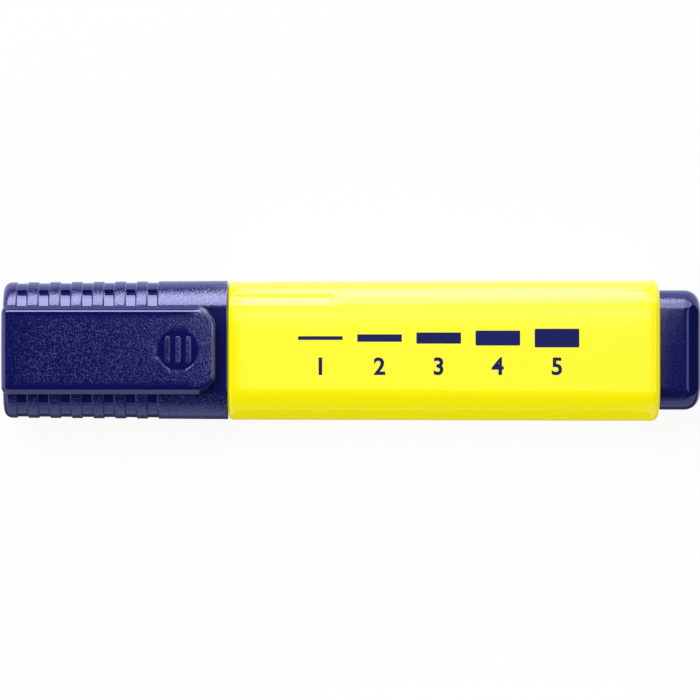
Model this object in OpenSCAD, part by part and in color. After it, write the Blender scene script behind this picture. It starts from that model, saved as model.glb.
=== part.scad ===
// Flat pocket highlighter with a slide-off clip cap.
// Millimetres. +X runs from the closed end of the cap to the end plug, +Z is the side with the clip.
// The pen lies on its flat back at Z = 0, with the middle of its length at X = 0.

/* [Barrel] */
// Visible length of the barrel, from its shoulder to its rear end
barrel_l = 83.7; // [60:0.1:110]
// Width of the barrel at its rear end
body_w = 27.5; // [23:0.1:33]
// How much narrower the barrel is at its shoulder
body_draft = 0.5; // [0:0.1:1]
// Thickness of the barrel, flat to flat
body_t = 15; // [12.5:0.1:18]
// Width of one rounded shoulder beside the flat, seen from above
shoulder_w = 5.2; // [4:0.1:6]
// Wall of the barrel at its rear end
barrel_wall = 1.8; // [1.4:0.1:2.2]
// Wall of the neck that the cap slides over
neck_wall = 1.3; // [1:0.1:1.6]
// Size of the bevel round the rear end
rear_bevel = 0.9; // [0.3:0.1:1.4]
// Thickness of the two ribs on each flat that carry the reservoir
rib_t = 1; // [0.6:0.1:1.6]
// Distance between those two ribs
rib_spread = 9; // [5:0.1:11]

/* [Cap] */
// Length of the cap
cap_l = 43.35; // [36:0.05:52]
// Wall of the cap at its closed end
cap_wall = 1.2; // [1:0.1:1.5]
// Thickness of the cap's end wall
cap_end_wall = 1.9; // [1.6:0.1:2.6]
// How far the barrel's shoulder stands out round the cap's mouth, on the sides
cap_step_w = 0.075; // [0:0.025:0.3]
// How far the barrel's shoulder stands out round the cap's mouth, on the flats
cap_step_t = 0.2; // [0.1:0.05:0.4]
// How much narrower the cap is at its closed end
cap_draft_w = 0.6; // [0:0.05:1]
// How much thinner the cap is at its closed end
cap_draft_t = 0.6; // [0:0.05:1]
// Number of grip grooves along each side
groove_n = 7; // [3:1:7]
// Distance from one groove to the next
groove_pitch = 4.2; // [3:0.05:4.5]
// Width of a groove
groove_w = 1.95; // [1:0.05:2.5]
// Depth of a groove
groove_depth = 0.3; // [0.1:0.05:0.5]
// Distance from the closed end to the middle of the first groove
groove_start = 3.75; // [2.5:0.05:5]

/* [Clip] */
// Width of the clip
clip_w = 17; // [12:0.05:17.5]
// Thickness of the clip's arm
clip_t = 1.6; // [1.2:0.1:2]
// Height of the space between the arm and the cap
clip_gap = 1.1; // [0.8:0.1:1.6]
// Distance from the clip's tip to the cap's mouth
clip_setback = 2.2; // [1:0.05:6]
// Corner radius of the clip's tip
clip_corner_r = 3.9; // [1:0.1:5]
// Length of the root that joins the arm to the cap
clip_root_l = 3.4; // [2:0.1:6]
// Height of the clip's leg, down the closed end of the cap
clip_leg_h = 3; // [2:0.1:4]
// Depth of the seat for that leg in the cap's end wall
clip_seat = 0.8; // [0.4:0.1:1]
// Length of the grip pad under the clip's tip
pad_l = 3; // [2:0.1:5]
// Height of that pad
pad_h = 0.7; // [0.4:0.1:0.8]

/* [Nib and holder] */
// Thickness of the nib for each millimetre of its breadth
nib_aspect = 0.72; // [0.5:0.01:0.9]
// Length of nib that stands out of the holder
nib_out = 6.8; // [5:0.1:8]
// How far one end of the slanted writing edge lies behind the other
nib_slant = 2.6; // [1:0.1:3.5]
// Thickness of the nib's writing edge
nib_edge = 1.2; // [0.8:0.1:2]
// Length of the nib behind the holder's flange
nib_tail = 4; // [2:0.1:6]
// Thickness of the flange on the front of the neck
flange_t = 1.5; // [1:0.1:2]
// Length of the spigot inside the neck
spigot_l = 3.5; // [2:0.1:5]
// Wall of the spigot
spigot_wall = 1; // [0.8:0.1:1.3]
// Length of the round boss that the inner cap seals on
boss_l = 10; // [6:0.5:12]
// Length of the tapered nose in front of the boss
nose_l = 3; // [2:0.1:4]
// Wall left round the nib at the tip of the nose
nose_wall = 0.6; // [0.4:0.1:1]
// How much the nose narrows from the boss to its tip, on each side
nose_taper = 0.85; // [0.5:0.05:1.2]

/* [Inner cap] */
// Wall of the inner cap
inner_wall = 0.8; // [0.6:0.1:1]
// Thickness of the inner cap's closed end
inner_end = 1; // [0.8:0.1:1.5]
// Length of the sealing land at the inner cap's mouth
seal_l = 3; // [2:0.1:5]
// Space round the boss behind the sealing land
seal_relief = 0.2; // [0.1:0.05:0.3]
// Length of the peg and socket that hold the inner cap
peg_l = 2.4; // [1.5:0.1:4]
// Radius of that peg
peg_r = 1.8; // [1:0.1:2.2]
// Air between the nib and the inner cap's closed end
nib_air = 1.3; // [0.8:0.1:3]
// Air between the inner cap's mouth and the flange
mouth_air = 1.2; // [0.5:0.1:3]

/* [Reservoir] */
// Thickness of the film round the fibre core
wrap_t = 0.2; // [0.1:0.05:0.4]
// Width of one rounded shoulder of the wrapped core
core_shoulder = 3.4; // [2.5:0.1:3.4]
// Air above and below the wrapped core in the neck
reservoir_air = 0.3; // [0.2:0.05:0.5]
// Air beside the wrapped core in the neck
reservoir_side = 1.2; // [0.8:0.1:2]
// How far the core stands out of its film at each end
core_bare = 1; // [0.5:0.1:3]
// Outer radius of the breather tube
breather_r = 0.8; // [0.6:0.1:0.8]
// Wall of the breather tube
breather_wall = 0.3; // [0.2:0.05:0.3]
// Length of the breather tube
breather_l = 58; // [30:1:58]
// Distance from the shoulder to the front end of the breather tube
breather_start = 3; // [2:0.5:8]

/* [End plug] */
// How far the plug stands out of the barrel
plug_out = 7.8; // [4:0.1:12]
// Gap beside the visible part of the plug, at its sides
plug_gap_w = 0.35; // [0.2:0.05:0.6]
// Gap above and below the visible part of the plug
plug_gap_t = 0.15; // [0.1:0.05:0.4]
// Width of one rounded shoulder of the plug
plug_shoulder = 4; // [3:0.1:4.5]
// Length of the bevel at the plug's end
plug_bevel_l = 2.1; // [1:0.1:3]
// How far the bevel narrows the plug on each side
plug_bevel_w = 1.8; // [0.5:0.1:2]
// Length of the skirt inside the barrel
skirt_l = 8; // [5:0.5:10]
// Depth at which the skirt starts behind the barrel's rear end
skirt_set = 0.8; // [0.5:0.1:1.5]
// Wall of the plug
plug_wall = 1.4; // [1:0.1:1.6]
// Number of sealing lands round the skirt
land_n = 3; // [2:1:4]
// Depth of the grooves between the sealing lands
land_depth = 0.3; // [0.1:0.05:0.5]

/* [Fits] */
// Gap between the cap's mouth and the barrel's shoulder
cap_seam = 0.15; // [0.1:0.05:0.3]
// Clearance between the neck and the cap, on each side
slide_fit = 0.12; // [0.1:0.01:0.2]
// Radial clearance of the inner cap on the boss
seal_fit = 0.05; // [0.02:0.01:0.1]
// Clearance of pieces that are pressed together for good
press_fit = 0.02; // [0.01:0.01:0.05]
// Clearance between the clip's root and the cap
clip_fit = 0.05; // [0.03:0.01:0.1]

/* [Hidden] */
$fn = 96;
e = 0.5; // how far a cut runs past the face it leaves

YELLOW = "#fff72b";
NAVY = "#232a72";

// Stations along the pen
overall = cap_l + cap_seam + barrel_l + plug_out;
x_cap = -overall / 2;
x_mouth = x_cap + cap_l;
x_shoulder = x_mouth + cap_seam;
x_rear = x_shoulder + barrel_l;
x_end = x_rear + plug_out;
z_mid = body_t / 2;

// The flats are joined by round shoulders. Their arcs share one centre line, arc_y from the middle.
function arc_radius(t, shoulder) = (t * t / 4 + shoulder * shoulder) / (2 * shoulder);
arc_y = body_w / 2 - arc_radius(body_t, shoulder_w);

// Outer sizes of the cap
cap_w_mouth = body_w - body_draft - 2 * cap_step_w;
cap_w_end = cap_w_mouth - cap_draft_w;
cap_t_mouth = body_t - 2 * cap_step_t;
cap_t_end = cap_t_mouth - cap_draft_t;
// Space inside the cap, the neck in it, and the bore of the neck
cap_bore_w = cap_w_end - 2 * cap_wall;
cap_bore_t = cap_t_end - 2 * cap_wall;
neck_w = cap_bore_w - 2 * slide_fit;
neck_t = cap_bore_t - 2 * slide_fit;
neck_bore_w = neck_w - 2 * neck_wall;
neck_bore_t = neck_t - 2 * neck_wall;
// Space inside the barrel
bore_w = body_w - 2 * barrel_wall;
bore_t = body_t - 2 * barrel_wall;

// The inner cap, worked out from the flats of the cap inwards
inner_air = 0.2; // between the inner cap and the flats of the cap
inner_r = cap_bore_t / 2 - inner_air;
boss_r = inner_r - inner_wall - seal_relief - seal_fit;
x_bore_end = x_cap + cap_end_wall;
x_inner_end = x_bore_end + peg_l;
x_nib = x_inner_end + inner_end + nib_air;
x_nose = x_nib + nib_out;
x_boss = x_nose + nose_l;
x_flange = x_boss + boss_l;
x_neck = x_flange + flange_t;
x_inner_mouth = x_flange - mouth_air;
x_spigot = x_neck + spigot_l;
nose_r = boss_r - nose_taper;
// The nib fills the tip of the nose, corner to corner
nib_w = 2 * (nose_r - nose_wall) / norm([1, nib_aspect]);
nib_t = nib_w * nib_aspect;
nib_fit = 0.05; // between the nib and its slot in the holder

// The reservoir, between the nib's tail and the ribs of the plug
x_core = x_neck + nib_tail;
x_skirt = x_rear - skirt_set - skirt_l;
core_rest = 0.1; // between the core and the ribs of the plug
x_core_end = x_skirt - core_rest;
wrap_w = neck_bore_w - 2 * reservoir_side;
wrap_bore_w = wrap_w - 2 * wrap_t;
core_w = wrap_bore_w - 2 * press_fit;
wrap_h = neck_bore_t - 2 * reservoir_air;
core_t = wrap_h - 2 * wrap_t - 2 * press_fit;
core_arc_y = wrap_w / 2 - arc_radius(wrap_h, core_shoulder);
rib_air = 0.05; // between the ribs and the film
rib_h = (bore_t - wrap_h) / 2 - rib_air;
rib_start = 2; // from the shoulder to the ribs
x_rib = x_shoulder + rib_start;
rib_end_gap = 1; // between the ribs and the plug's skirt
x_breather = x_shoulder + breather_start;
bore_step = 2; // wall left behind the shoulder before the bore widens
breather_air = 0.1; // between the tube and the film

// The end plug
plug_w = bore_w - 2 * plug_gap_w;
plug_t = bore_t - 2 * plug_gap_t;
plug_arc_y = plug_w / 2 - arc_radius(plug_t, plug_shoulder);
skirt_w = bore_w - 2 * press_fit;
skirt_t = bore_t - 2 * press_fit;
land_pitch = skirt_l / (2 * land_n - 1);
plug_rib_t = 1.2; // thickness of the crossed ribs inside the plug

// The clip
z_cap_top = z_mid + cap_t_mouth / 2;
z_cap_end_top = z_mid + cap_t_end / 2;
z_arm = z_cap_top + clip_gap;
z_clip_top = z_arm + clip_t;
z_leg = z_cap_end_top - clip_leg_h;
clip_l = cap_l - clip_setback;
clip_nose_r = 1.4; // rounding where the arm turns down into its leg

// Height of the cap's upper flat at a station
function cap_top(x) = z_cap_end_top + (z_cap_top - z_cap_end_top) * (x - x_cap) / cap_l;

// A length of the flat body form: two flats joined by round shoulders, which may taper along X.
module form(l, w0, w1, t0, t1, y) {
    wide = max(w0, w1);
    intersection() {
        union() {
            for (side = [-1, 1])
                translate([0, side * y, 0])
                    rotate([0, 90, 0]) cylinder(h = l, r1 = w0 / 2 - y, r2 = w1 / 2 - y);
            translate([0, -y, -wide / 2]) cube([l, 2 * y, wide]);
        }
        rotate([90, 0, 0])
            linear_extrude(2 * wide, center = true)
                polygon([[0, -t0 / 2], [l, -t1 / 2], [l, t1 / 2], [0, t0 / 2]]);
    }
}

// The same form without a taper, from one station to another.
module straight(x0, x1, w, t, y = arc_y) {
    translate([x0, 0, z_mid]) form(x1 - x0, w, w, t, t, y);
}

// A cylinder along the pen's axis, from one station to another.
module axial(x0, x1, r0, r1) {
    translate([x0, 0, z_mid]) rotate([0, 90, 0]) cylinder(h = x1 - x0, r1 = r0, r2 = r1);
}

// A block centred on the pen's axis, from one station to another.
module block(x0, x1, w, t) {
    translate([x0, -w / 2, z_mid - t / 2]) cube([x1 - x0, w, t]);
}

// Casing with its neck, open at both ends.
module barrel() {
    w_front = body_w - body_draft;
    bevel_w = body_w - 2 * rear_bevel;
    bevel_t = body_t - rear_bevel; // half as deep on the flats as on the sides
    x_bevel = x_rear - rear_bevel;
    color(YELLOW) {
        difference() {
            union() {
                translate([x_shoulder, 0, z_mid])
                    form(x_bevel - x_shoulder, w_front, body_w, body_t, body_t, arc_y);
                translate([x_bevel, 0, z_mid])
                    form(rear_bevel, body_w, bevel_w, body_t, bevel_t, arc_y);
                straight(x_neck, x_shoulder + e, neck_w, neck_t);
            }
            straight(x_neck - e, x_shoulder + bore_step + e, neck_bore_w, neck_bore_t);
            straight(x_shoulder + bore_step, x_rear + e, bore_w, bore_t);
        }
        reservoir_ribs();
    }
}

// Two ribs on each flat, which carry the reservoir in the middle of the barrel.
module reservoir_ribs() {
    for (side = [-1, 1], face = [-1, 1])
        translate([x_rib, side * rib_spread / 2 - rib_t / 2, z_mid])
            translate([0, 0, face > 0 ? bore_t / 2 - rib_h : -bore_t / 2])
                cube([x_skirt - rib_end_gap - x_rib, rib_t, rib_h]);
}

// Front insert: flange and spigot on the neck, round sealing boss, and nose with the nib's slot.
module nib_holder() {
    color(NAVY)
        difference() {
            union() {
                straight(x_flange, x_neck, neck_w, neck_t);
                straight(x_neck, x_spigot, neck_bore_w - 2 * press_fit, neck_bore_t - 2 * press_fit);
                axial(x_boss, x_flange, boss_r, boss_r);
                axial(x_nose, x_boss, nose_r, boss_r);
            }
            straight(x_neck, x_spigot + e, neck_bore_w - 2 * spigot_wall, neck_bore_t - 2 * spigot_wall);
            block(x_nose - e, x_neck + e, nib_w + 2 * nib_fit, nib_t + 2 * nib_fit);
        }
}

// Chisel nib: a slanted writing edge seen from above, a wedge seen from the side.
module nib() {
    wedge_l = 4.5; // length of the two bevels behind the writing edge
    color(YELLOW)
        intersection() {
            translate([0, 0, z_mid])
                linear_extrude(nib_t, center = true)
                    polygon([[x_nib, -nib_w / 2], [x_core, -nib_w / 2], [x_core, nib_w / 2],
                             [x_nib + nib_slant, nib_w / 2]]);
            translate([0, 0, z_mid])
                rotate([90, 0, 0])
                    linear_extrude(2 * nib_w, center = true)
                        polygon([[x_nib, -nib_edge / 2], [x_nib + wedge_l, -nib_t / 2],
                                 [x_core, -nib_t / 2], [x_core, nib_t / 2],
                                 [x_nib + wedge_l, nib_t / 2], [x_nib, nib_edge / 2]]);
        }
}

// Fibre bundle that stores the ink.
module reservoir_core() {
    color("gold") straight(x_core, x_core_end, core_w, core_t, core_arc_y);
}

// Thin film round the fibre bundle.
module reservoir_wrap() {
    color("whitesmoke")
        difference() {
            straight(x_core + core_bare, x_core_end - core_bare, wrap_w, wrap_h, core_arc_y);
            straight(x_core, x_core_end, wrap_bore_w, wrap_h - 2 * wrap_t, core_arc_y);
        }
}

// Air tube along the side of the reservoir.
module breather_tube() {
    tube_y = wrap_w / 2 + breather_air + breather_r;
    color("white")
        translate([0, tube_y, 0])
            difference() {
                axial(x_breather, x_breather + breather_l, breather_r, breather_r);
                axial(x_breather - e, x_breather + breather_l + e,
                      breather_r - breather_wall, breather_r - breather_wall);
            }
}

// Rear plug: hollow end with a bevel, skirt with sealing lands, and crossed ribs behind the core.
module end_plug() {
    x_skirt_end = x_rear - skirt_set;
    x_bevel = x_end - plug_bevel_l;
    end_w = plug_w - 2 * plug_bevel_w;
    end_t = plug_t - 2 * plug_bevel_w;
    color(NAVY) {
        difference() {
            union() {
                straight(x_skirt, x_skirt_end, skirt_w, skirt_t);
                straight(x_skirt_end, x_bevel, plug_w, plug_t, plug_arc_y);
                translate([x_bevel, 0, z_mid])
                    form(plug_bevel_l, plug_w, end_w, plug_t, end_t, plug_arc_y);
            }
            straight(x_skirt - e, x_bevel, plug_w - 2 * plug_wall, plug_t - 2 * plug_wall, plug_arc_y);
            for (i = [0 : land_n - 2])
                land_groove(x_skirt + (2 * i + 1) * land_pitch);
        }
        intersection() {
            union() {
                block(x_skirt, x_bevel, bore_w, plug_rib_t);
                block(x_skirt, x_bevel, plug_rib_t, bore_t);
            }
            straight(x_skirt, x_bevel, plug_w - plug_wall, plug_t - plug_wall, plug_arc_y);
        }
    }
}

// One groove between two sealing lands of the plug's skirt.
module land_groove(x) {
    difference() {
        block(x, x + land_pitch, 2 * body_w, 2 * body_t);
        straight(x - e, x + land_pitch + e, skirt_w - 2 * land_depth, skirt_t - 2 * land_depth);
    }
}

// Cap: tapered shell with a closed end, grip grooves, a seat for the clip and a peg for the inner cap.
module cap_shell() {
    color(NAVY) {
        difference() {
            translate([x_cap, 0, z_mid])
                form(cap_l, cap_w_end, cap_w_mouth, cap_t_end, cap_t_mouth, arc_y);
            straight(x_bore_end, x_mouth + e, cap_bore_w, cap_bore_t);
            for (i = [0 : groove_n - 1])
                grip_groove(x_cap + groove_start + i * groove_pitch);
            translate([x_cap - e, -clip_w / 2 - clip_fit, z_leg - clip_fit])
                cube([clip_seat + e, clip_w + 2 * clip_fit, body_t]);
        }
        axial(x_bore_end - e, x_bore_end + peg_l - press_fit, peg_r, peg_r);
    }
}

// One grip groove across both round shoulders, at a station. It stops at the edges of the flats.
module grip_groove(x) {
    share = (x - x_cap) / cap_l;
    w = cap_w_end + share * cap_draft_w;
    flat_edge = w / 2 - shoulder_w;
    translate([x - groove_w / 2, 0, z_mid])
        rotate([90, 0, 90])
            linear_extrude(groove_w)
                difference() {
                    square([2 * w, 2 * body_t], center = true);
                    square([2 * flat_edge, 3 * body_t], center = true);
                    for (side = [-1, 1])
                        translate([side * arc_y, 0]) circle(r = w / 2 - arc_y - groove_depth);
                }
}

// Inner cap: a cup that seals on the boss and keeps the nib wet.
module inner_cap() {
    x_seal = x_inner_mouth - seal_l;
    land_r = boss_r + seal_fit;
    color("#39408a")
        difference() {
            axial(x_bore_end + clip_fit, x_inner_mouth, inner_r, inner_r);
            axial(x_inner_end + inner_end, x_seal, land_r + seal_relief, land_r + seal_relief);
            axial(x_seal - e, x_inner_mouth + e, land_r, land_r);
            axial(x_bore_end - e, x_inner_end, peg_r + press_fit, peg_r + press_fit);
            // lightening ring round the socket
            difference() {
                axial(x_bore_end - e, x_inner_end, inner_r - inner_wall, inner_r - inner_wall);
                axial(x_bore_end - 2 * e, x_inner_end + e, peg_r + inner_wall, peg_r + inner_wall);
            }
        }
}

// Clip: an arm over the upper flat, with a root and a leg at the closed end and a pad under its tip.
module clip() {
    x_arm_end = x_cap + clip_l;
    x_root = x_cap + clip_root_l;
    x_seat = x_cap + clip_seat - clip_fit;
    color("#2c337f")
        intersection() {
            rotate([90, 0, 0])
                linear_extrude(clip_w, center = true)
                    union() {
                        clip_side(x_arm_end, x_root, x_seat);
                        translate([x_cap + clip_nose_r, z_clip_top - clip_nose_r]) circle(r = clip_nose_r);
                    }
            translate([0, 0, z_leg - e])
                linear_extrude(body_t)
                    clip_plan(x_arm_end);
        }
}

// Side view of the clip, without the rounding of its upper front corner.
module clip_side(x_arm_end, x_root, x_seat) {
    z_tip_cap = cap_top(x_arm_end);
    polygon([[x_cap, z_leg], [x_seat, z_leg], [x_seat, cap_top(x_seat) + clip_fit],
             [x_root, cap_top(x_root) + clip_fit], [x_root + clip_gap, z_arm],
             [x_arm_end - 2 * pad_l, z_arm], [x_arm_end - pad_l, z_arm - pad_h],
             [x_arm_end - pad_l / 2, z_arm - pad_h], [x_arm_end, z_arm],
             [x_arm_end, z_clip_top], [x_cap + clip_nose_r, z_clip_top],
             [x_cap, z_clip_top - clip_nose_r]]);
}

// Outline of the clip seen from above, with the two corners of its tip rounded.
module clip_plan(x_arm_end) {
    half = clip_w / 2;
    difference() {
        translate([x_cap, -half]) square([clip_l, clip_w]);
        for (side = [-1, 1])
            translate([x_arm_end - clip_corner_r, side * (half - clip_corner_r)])
                difference() {
                    translate([0, side > 0 ? 0 : -clip_corner_r - e])
                        square([clip_corner_r + e, clip_corner_r + e]);
                    circle(r = clip_corner_r);
                }
    }
}

barrel();
nib_holder();
nib();
reservoir_core();
reservoir_wrap();
breather_tube();
end_plug();
cap_shell();
inner_cap();
clip();
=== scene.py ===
# %% [markdown]
# # A flat pocket highlighter
# The pen lies on its flat back and is seen from straight above. Its working parts (casing, cap, clip,
# end plug, nib, nib holder and ink reservoir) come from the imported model, at their real size.
# This script makes the moulded surfaces that show: rounded edges, grip grooves, the clip's drafted sides,
# the felt nib, the finishes and the light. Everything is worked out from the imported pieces' own boxes.

# %% Load the frame
import math

import bmesh
import bpy
import numpy as np
from mathutils import Matrix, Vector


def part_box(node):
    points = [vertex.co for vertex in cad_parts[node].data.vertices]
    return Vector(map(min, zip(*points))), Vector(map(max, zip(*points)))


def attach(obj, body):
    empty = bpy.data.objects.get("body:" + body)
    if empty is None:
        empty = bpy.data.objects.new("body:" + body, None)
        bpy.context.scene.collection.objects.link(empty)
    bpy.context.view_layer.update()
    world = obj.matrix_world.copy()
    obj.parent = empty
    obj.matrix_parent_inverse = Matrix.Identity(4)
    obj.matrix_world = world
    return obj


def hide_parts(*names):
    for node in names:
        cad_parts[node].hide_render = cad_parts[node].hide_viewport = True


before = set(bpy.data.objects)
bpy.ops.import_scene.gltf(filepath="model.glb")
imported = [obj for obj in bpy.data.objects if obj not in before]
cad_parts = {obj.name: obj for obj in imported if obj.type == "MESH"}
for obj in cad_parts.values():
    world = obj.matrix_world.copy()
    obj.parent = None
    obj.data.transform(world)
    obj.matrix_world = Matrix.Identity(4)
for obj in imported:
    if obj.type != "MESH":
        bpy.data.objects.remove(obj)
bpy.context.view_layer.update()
MM = 0.001
scene = bpy.context.scene

# %% [markdown]
# ## Sizes
# A moulded pen is a set of nested shells, so a few sizes fix the rest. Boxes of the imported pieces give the
# stations along the pen. Only walls, corner radii and the grooves' pitch are written here, as a mould maker
# would list them.

# %% Stations and sizes, in millimetres
def box_mm(node):
    """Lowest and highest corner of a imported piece, in millimetres."""
    return [np.array(corner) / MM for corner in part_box(node)]


cap_low, cap_high = box_mm("cap_shell")
barrel_low, barrel_high = box_mm("barrel")
plug_low, plug_high = box_mm("end_plug")
clip_low, clip_high = box_mm("clip")
nib_low, nib_high = box_mm("nib")

body_w = 2 * barrel_high[1]
body_t = barrel_high[2] - barrel_low[2]
z_mid = (barrel_high[2] + barrel_low[2]) / 2
x_cap, x_mouth = cap_low[0], cap_high[0]
x_neck, x_rear = barrel_low[0], barrel_high[0]
x_skirt, x_end = plug_low[0], plug_high[0]

shoulder_w = 5.2   # width of one rounded shoulder beside the flat
body_draft = 0.5   # how much narrower the barrel is at its front
cap_draft = 0.6    # how much narrower and thinner the cap is at its closed end
seam = 0.15        # gap between cap and barrel
cap_wall = 1.2
cap_end_wall = 1.9
slide_fit = 0.12   # between neck and cap
neck_wall = 1.3
barrel_wall = 1.8
bore_step = 2.0    # wall left behind the shoulder before the bore widens

mouth_shift = 0.3  # the seam as seen lies a little further from the cap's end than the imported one
rear_shift = 0.15  # and the casing's rear edge a little nearer to it
x_mouth += mouth_shift
x_rear -= rear_shift
x_shoulder = x_mouth + seam


def arc_radius(thickness, shoulder):
    """Radius of the arc that rises half a thickness over one shoulder's width."""
    return (thickness ** 2 / 4 + shoulder ** 2) / (2 * shoulder)


arc_y = body_w / 2 - arc_radius(body_t, shoulder_w)
cap_w_mouth, cap_t_mouth = 2 * cap_high[1], cap_high[2] - cap_low[2]
cap_w_end, cap_t_end = cap_w_mouth - cap_draft, cap_t_mouth - cap_draft
cap_bore_w, cap_bore_t = cap_w_end - 2 * cap_wall, cap_t_end - 2 * cap_wall
neck_w, neck_t = cap_bore_w - 2 * slide_fit, cap_bore_t - 2 * slide_fit
print(f"body {body_w:.2f} x {body_t:.2f}, arcs centred at {arc_y:.2f}")
print(f"cap {cap_w_mouth:.2f} x {cap_t_mouth:.2f}, neck {neck_w:.2f} x {neck_t:.2f}")

# %% [markdown]
# ## Node trees written as sums
# Both geometry and shader trees need arithmetic. Dragging Math nodes by hand hides the formula, so one small
# class wraps a socket and overloads the operators: `1 - mask` adds a Subtract node. A second class adds any
# other node: its type first, then its settings, then what goes into its sockets.

# %% A socket that does arithmetic
def operator(operation, reflected=False):
    """The method behind one operator. Reflected is for a plain number on the left, as in 1 - mask."""
    def apply(self, other):
        pair = [other, self] if reflected else [self, other]
        return self.tree.add("ShaderNodeMath", {"operation": operation}, pair)
    return apply


class Value:
    """A number socket. Its operators add Math nodes to the same tree."""

    __add__ = __radd__ = operator("ADD")
    __mul__ = __rmul__ = operator("MULTIPLY")
    __sub__, __rsub__ = operator("SUBTRACT"), operator("SUBTRACT", reflected=True)
    __truediv__, __rtruediv__ = operator("DIVIDE"), operator("DIVIDE", reflected=True)
    least, most = operator("MINIMUM"), operator("MAXIMUM")

    def __init__(self, tree, socket):
        self.tree, self.socket = tree, socket

    def math(self, operation, *others):
        return self.tree.add("ShaderNodeMath", {"operation": operation}, [self, *others])

    def __abs__(self):
        return self.math("ABSOLUTE")

    def clamp(self, low=0.0, high=1.0):
        return self.most(low).least(high)

    def smooth(self):
        """0 to 1 with level ends, for a value that runs from 0 to 1."""
        step = self.clamp()
        return step * step * (3.0 - 2.0 * step)


# %% A tree that adds nodes
class Tree:
    """A node tree with one method that adds any node."""

    def __init__(self, node_tree):
        self.nodes, self.links = node_tree.nodes, node_tree.links

    def node(self, kind, settings=None, inputs=()):
        made = self.nodes.new(kind)
        for name, setting in (settings or {}).items():
            setattr(made, name, setting)
        pairs = inputs.items() if isinstance(inputs, dict) else enumerate(inputs)
        for key, given in pairs:
            if isinstance(given, Value):
                self.links.new(given.socket, made.inputs[key])
            else:
                made.inputs[key].default_value = given
        return made

    def add(self, kind, settings=None, inputs=(), output=None):
        """Adds a node and returns one of its outputs: the named one, or the first that is in use."""
        made = self.node(kind, settings, inputs)
        if output is not None:
            return Value(self, made.outputs[output])
        return Value(self, next(s for s in made.outputs if s.enabled))


# %% [markdown]
# Every piece ends as an object with a plain mesh. Small helpers put a mesh in the scene, take what an
# object's modifiers make of it, and read where its points are.

# %% Helpers for objects and meshes
def new_piece(name, mesh):
    """Puts a mesh in the scene as an object."""
    piece = bpy.data.objects.new(name, mesh)
    scene.collection.objects.link(piece)
    return piece


def finished_mesh(piece):
    """The plain mesh that an object's modifiers make of it."""
    bpy.context.view_layer.update()
    return bpy.data.meshes.new_from_object(piece.evaluated_get(bpy.context.evaluated_depsgraph_get()))


def get_points(mesh):
    """Every point's x, y and z in millimetres, as three arrays."""
    points = np.zeros(len(mesh.vertices) * 3)
    mesh.vertices.foreach_get("co", points)
    return points.reshape(-1, 3).T / MM


# %% [markdown]
# ## One form for the whole pen
# Cap, barrel and plug share one cross-section: two flats joined by round shoulders. It can be drawn with
# curves, but it also follows a rule, and a rule is easier to taper. A parameter sheet has one row of points
# per station along X. Each point has a `turn` (its angle round the shoulder's arc) and a `lean` (which of
# the two arcs it belongs to, or where between them). Geometry Nodes roll that sheet into the pen's form:
# height is the smaller of the arc and the flat, and a smooth minimum rounds the crease between them.

# %% The parameter sheet
flat_points = 9           # points across a flat, with both its ends
fold_turns = (12, 42)     # degrees round the arc between which the crease and the ledge lie


def ring_parameters():
    """Lean and turn of the points round one ring, closer together where the crease and the ledge are."""
    flat_steps = np.linspace(-1, 1, flat_points)[1:-1]
    first, last = fold_turns
    quarter = np.concatenate([np.arange(0, first, 3), np.arange(first, last, 0.5), np.arange(last, 90, 1.5)])
    half = np.concatenate([quarter, [90], 180 - quarter[::-1]])
    lean = np.concatenate([flat_steps, np.ones(len(half)), -flat_steps, -np.ones(len(half))])
    turn = np.concatenate([flat_steps * 0, half, flat_steps * 0 + 180, half + 180])
    return lean, np.radians(turn)


LEAN, TURN = ring_parameters()
print("points round a ring:", len(LEAN))


def parameter_sheet(name, stations):
    """A mesh with one ring per station (x, width, thickness, spread), whose rule is held in attributes."""
    count, rings = len(LEAN), len(stations)
    table = np.array(stations, float) * [MM, MM / 2, MM / 2, 1]
    points = np.zeros((rings, count, 3))
    points[:, :, 0] = table[:, 0, None]
    points[:, :, 1] = np.arange(count) * MM
    ring, step = np.meshgrid(np.arange(rings - 1), np.arange(count), indexing="ij")
    after = (step + 1) % count
    faces = np.stack([ring * count + step, ring * count + after,
                      (ring + 1) * count + after, (ring + 1) * count + step], axis=-1).reshape(-1, 4)
    mesh = bpy.data.meshes.new(name)
    mesh.from_pydata(points.reshape(-1, 3).tolist(), [], faces.tolist())
    columns = {"half_w": table[:, 1], "half_t": table[:, 2], "spread": table[:, 3]}
    values = {key: np.repeat(column, count) for key, column in columns.items()}
    values["lean"] = np.tile(LEAN, rings)
    values["turn"] = np.tile(TURN, rings)
    for key, data in values.items():
        mesh.attributes.new(key, "FLOAT", "POINT").data.foreach_set("value", data.astype(np.float32))
    return new_piece(name, mesh)


# %% [markdown]
# A tree needs named inputs, so that the same rule serves every shell. This helper opens a tree with its
# inputs and gives each as a `Value`, with the identifiers that the modifier wants. A tree ends in Realize
# Instances, because a copy that is only an instance has no mesh of its own, and in Set Material.

# %% Open, close and run a geometry tree
KINDS = {"size": "NodeSocketFloat", "count": "NodeSocketInt", "material": "NodeSocketMaterial"}
SAME_PLACE = 1e-7    # points closer than this, in metres, are merged


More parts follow.
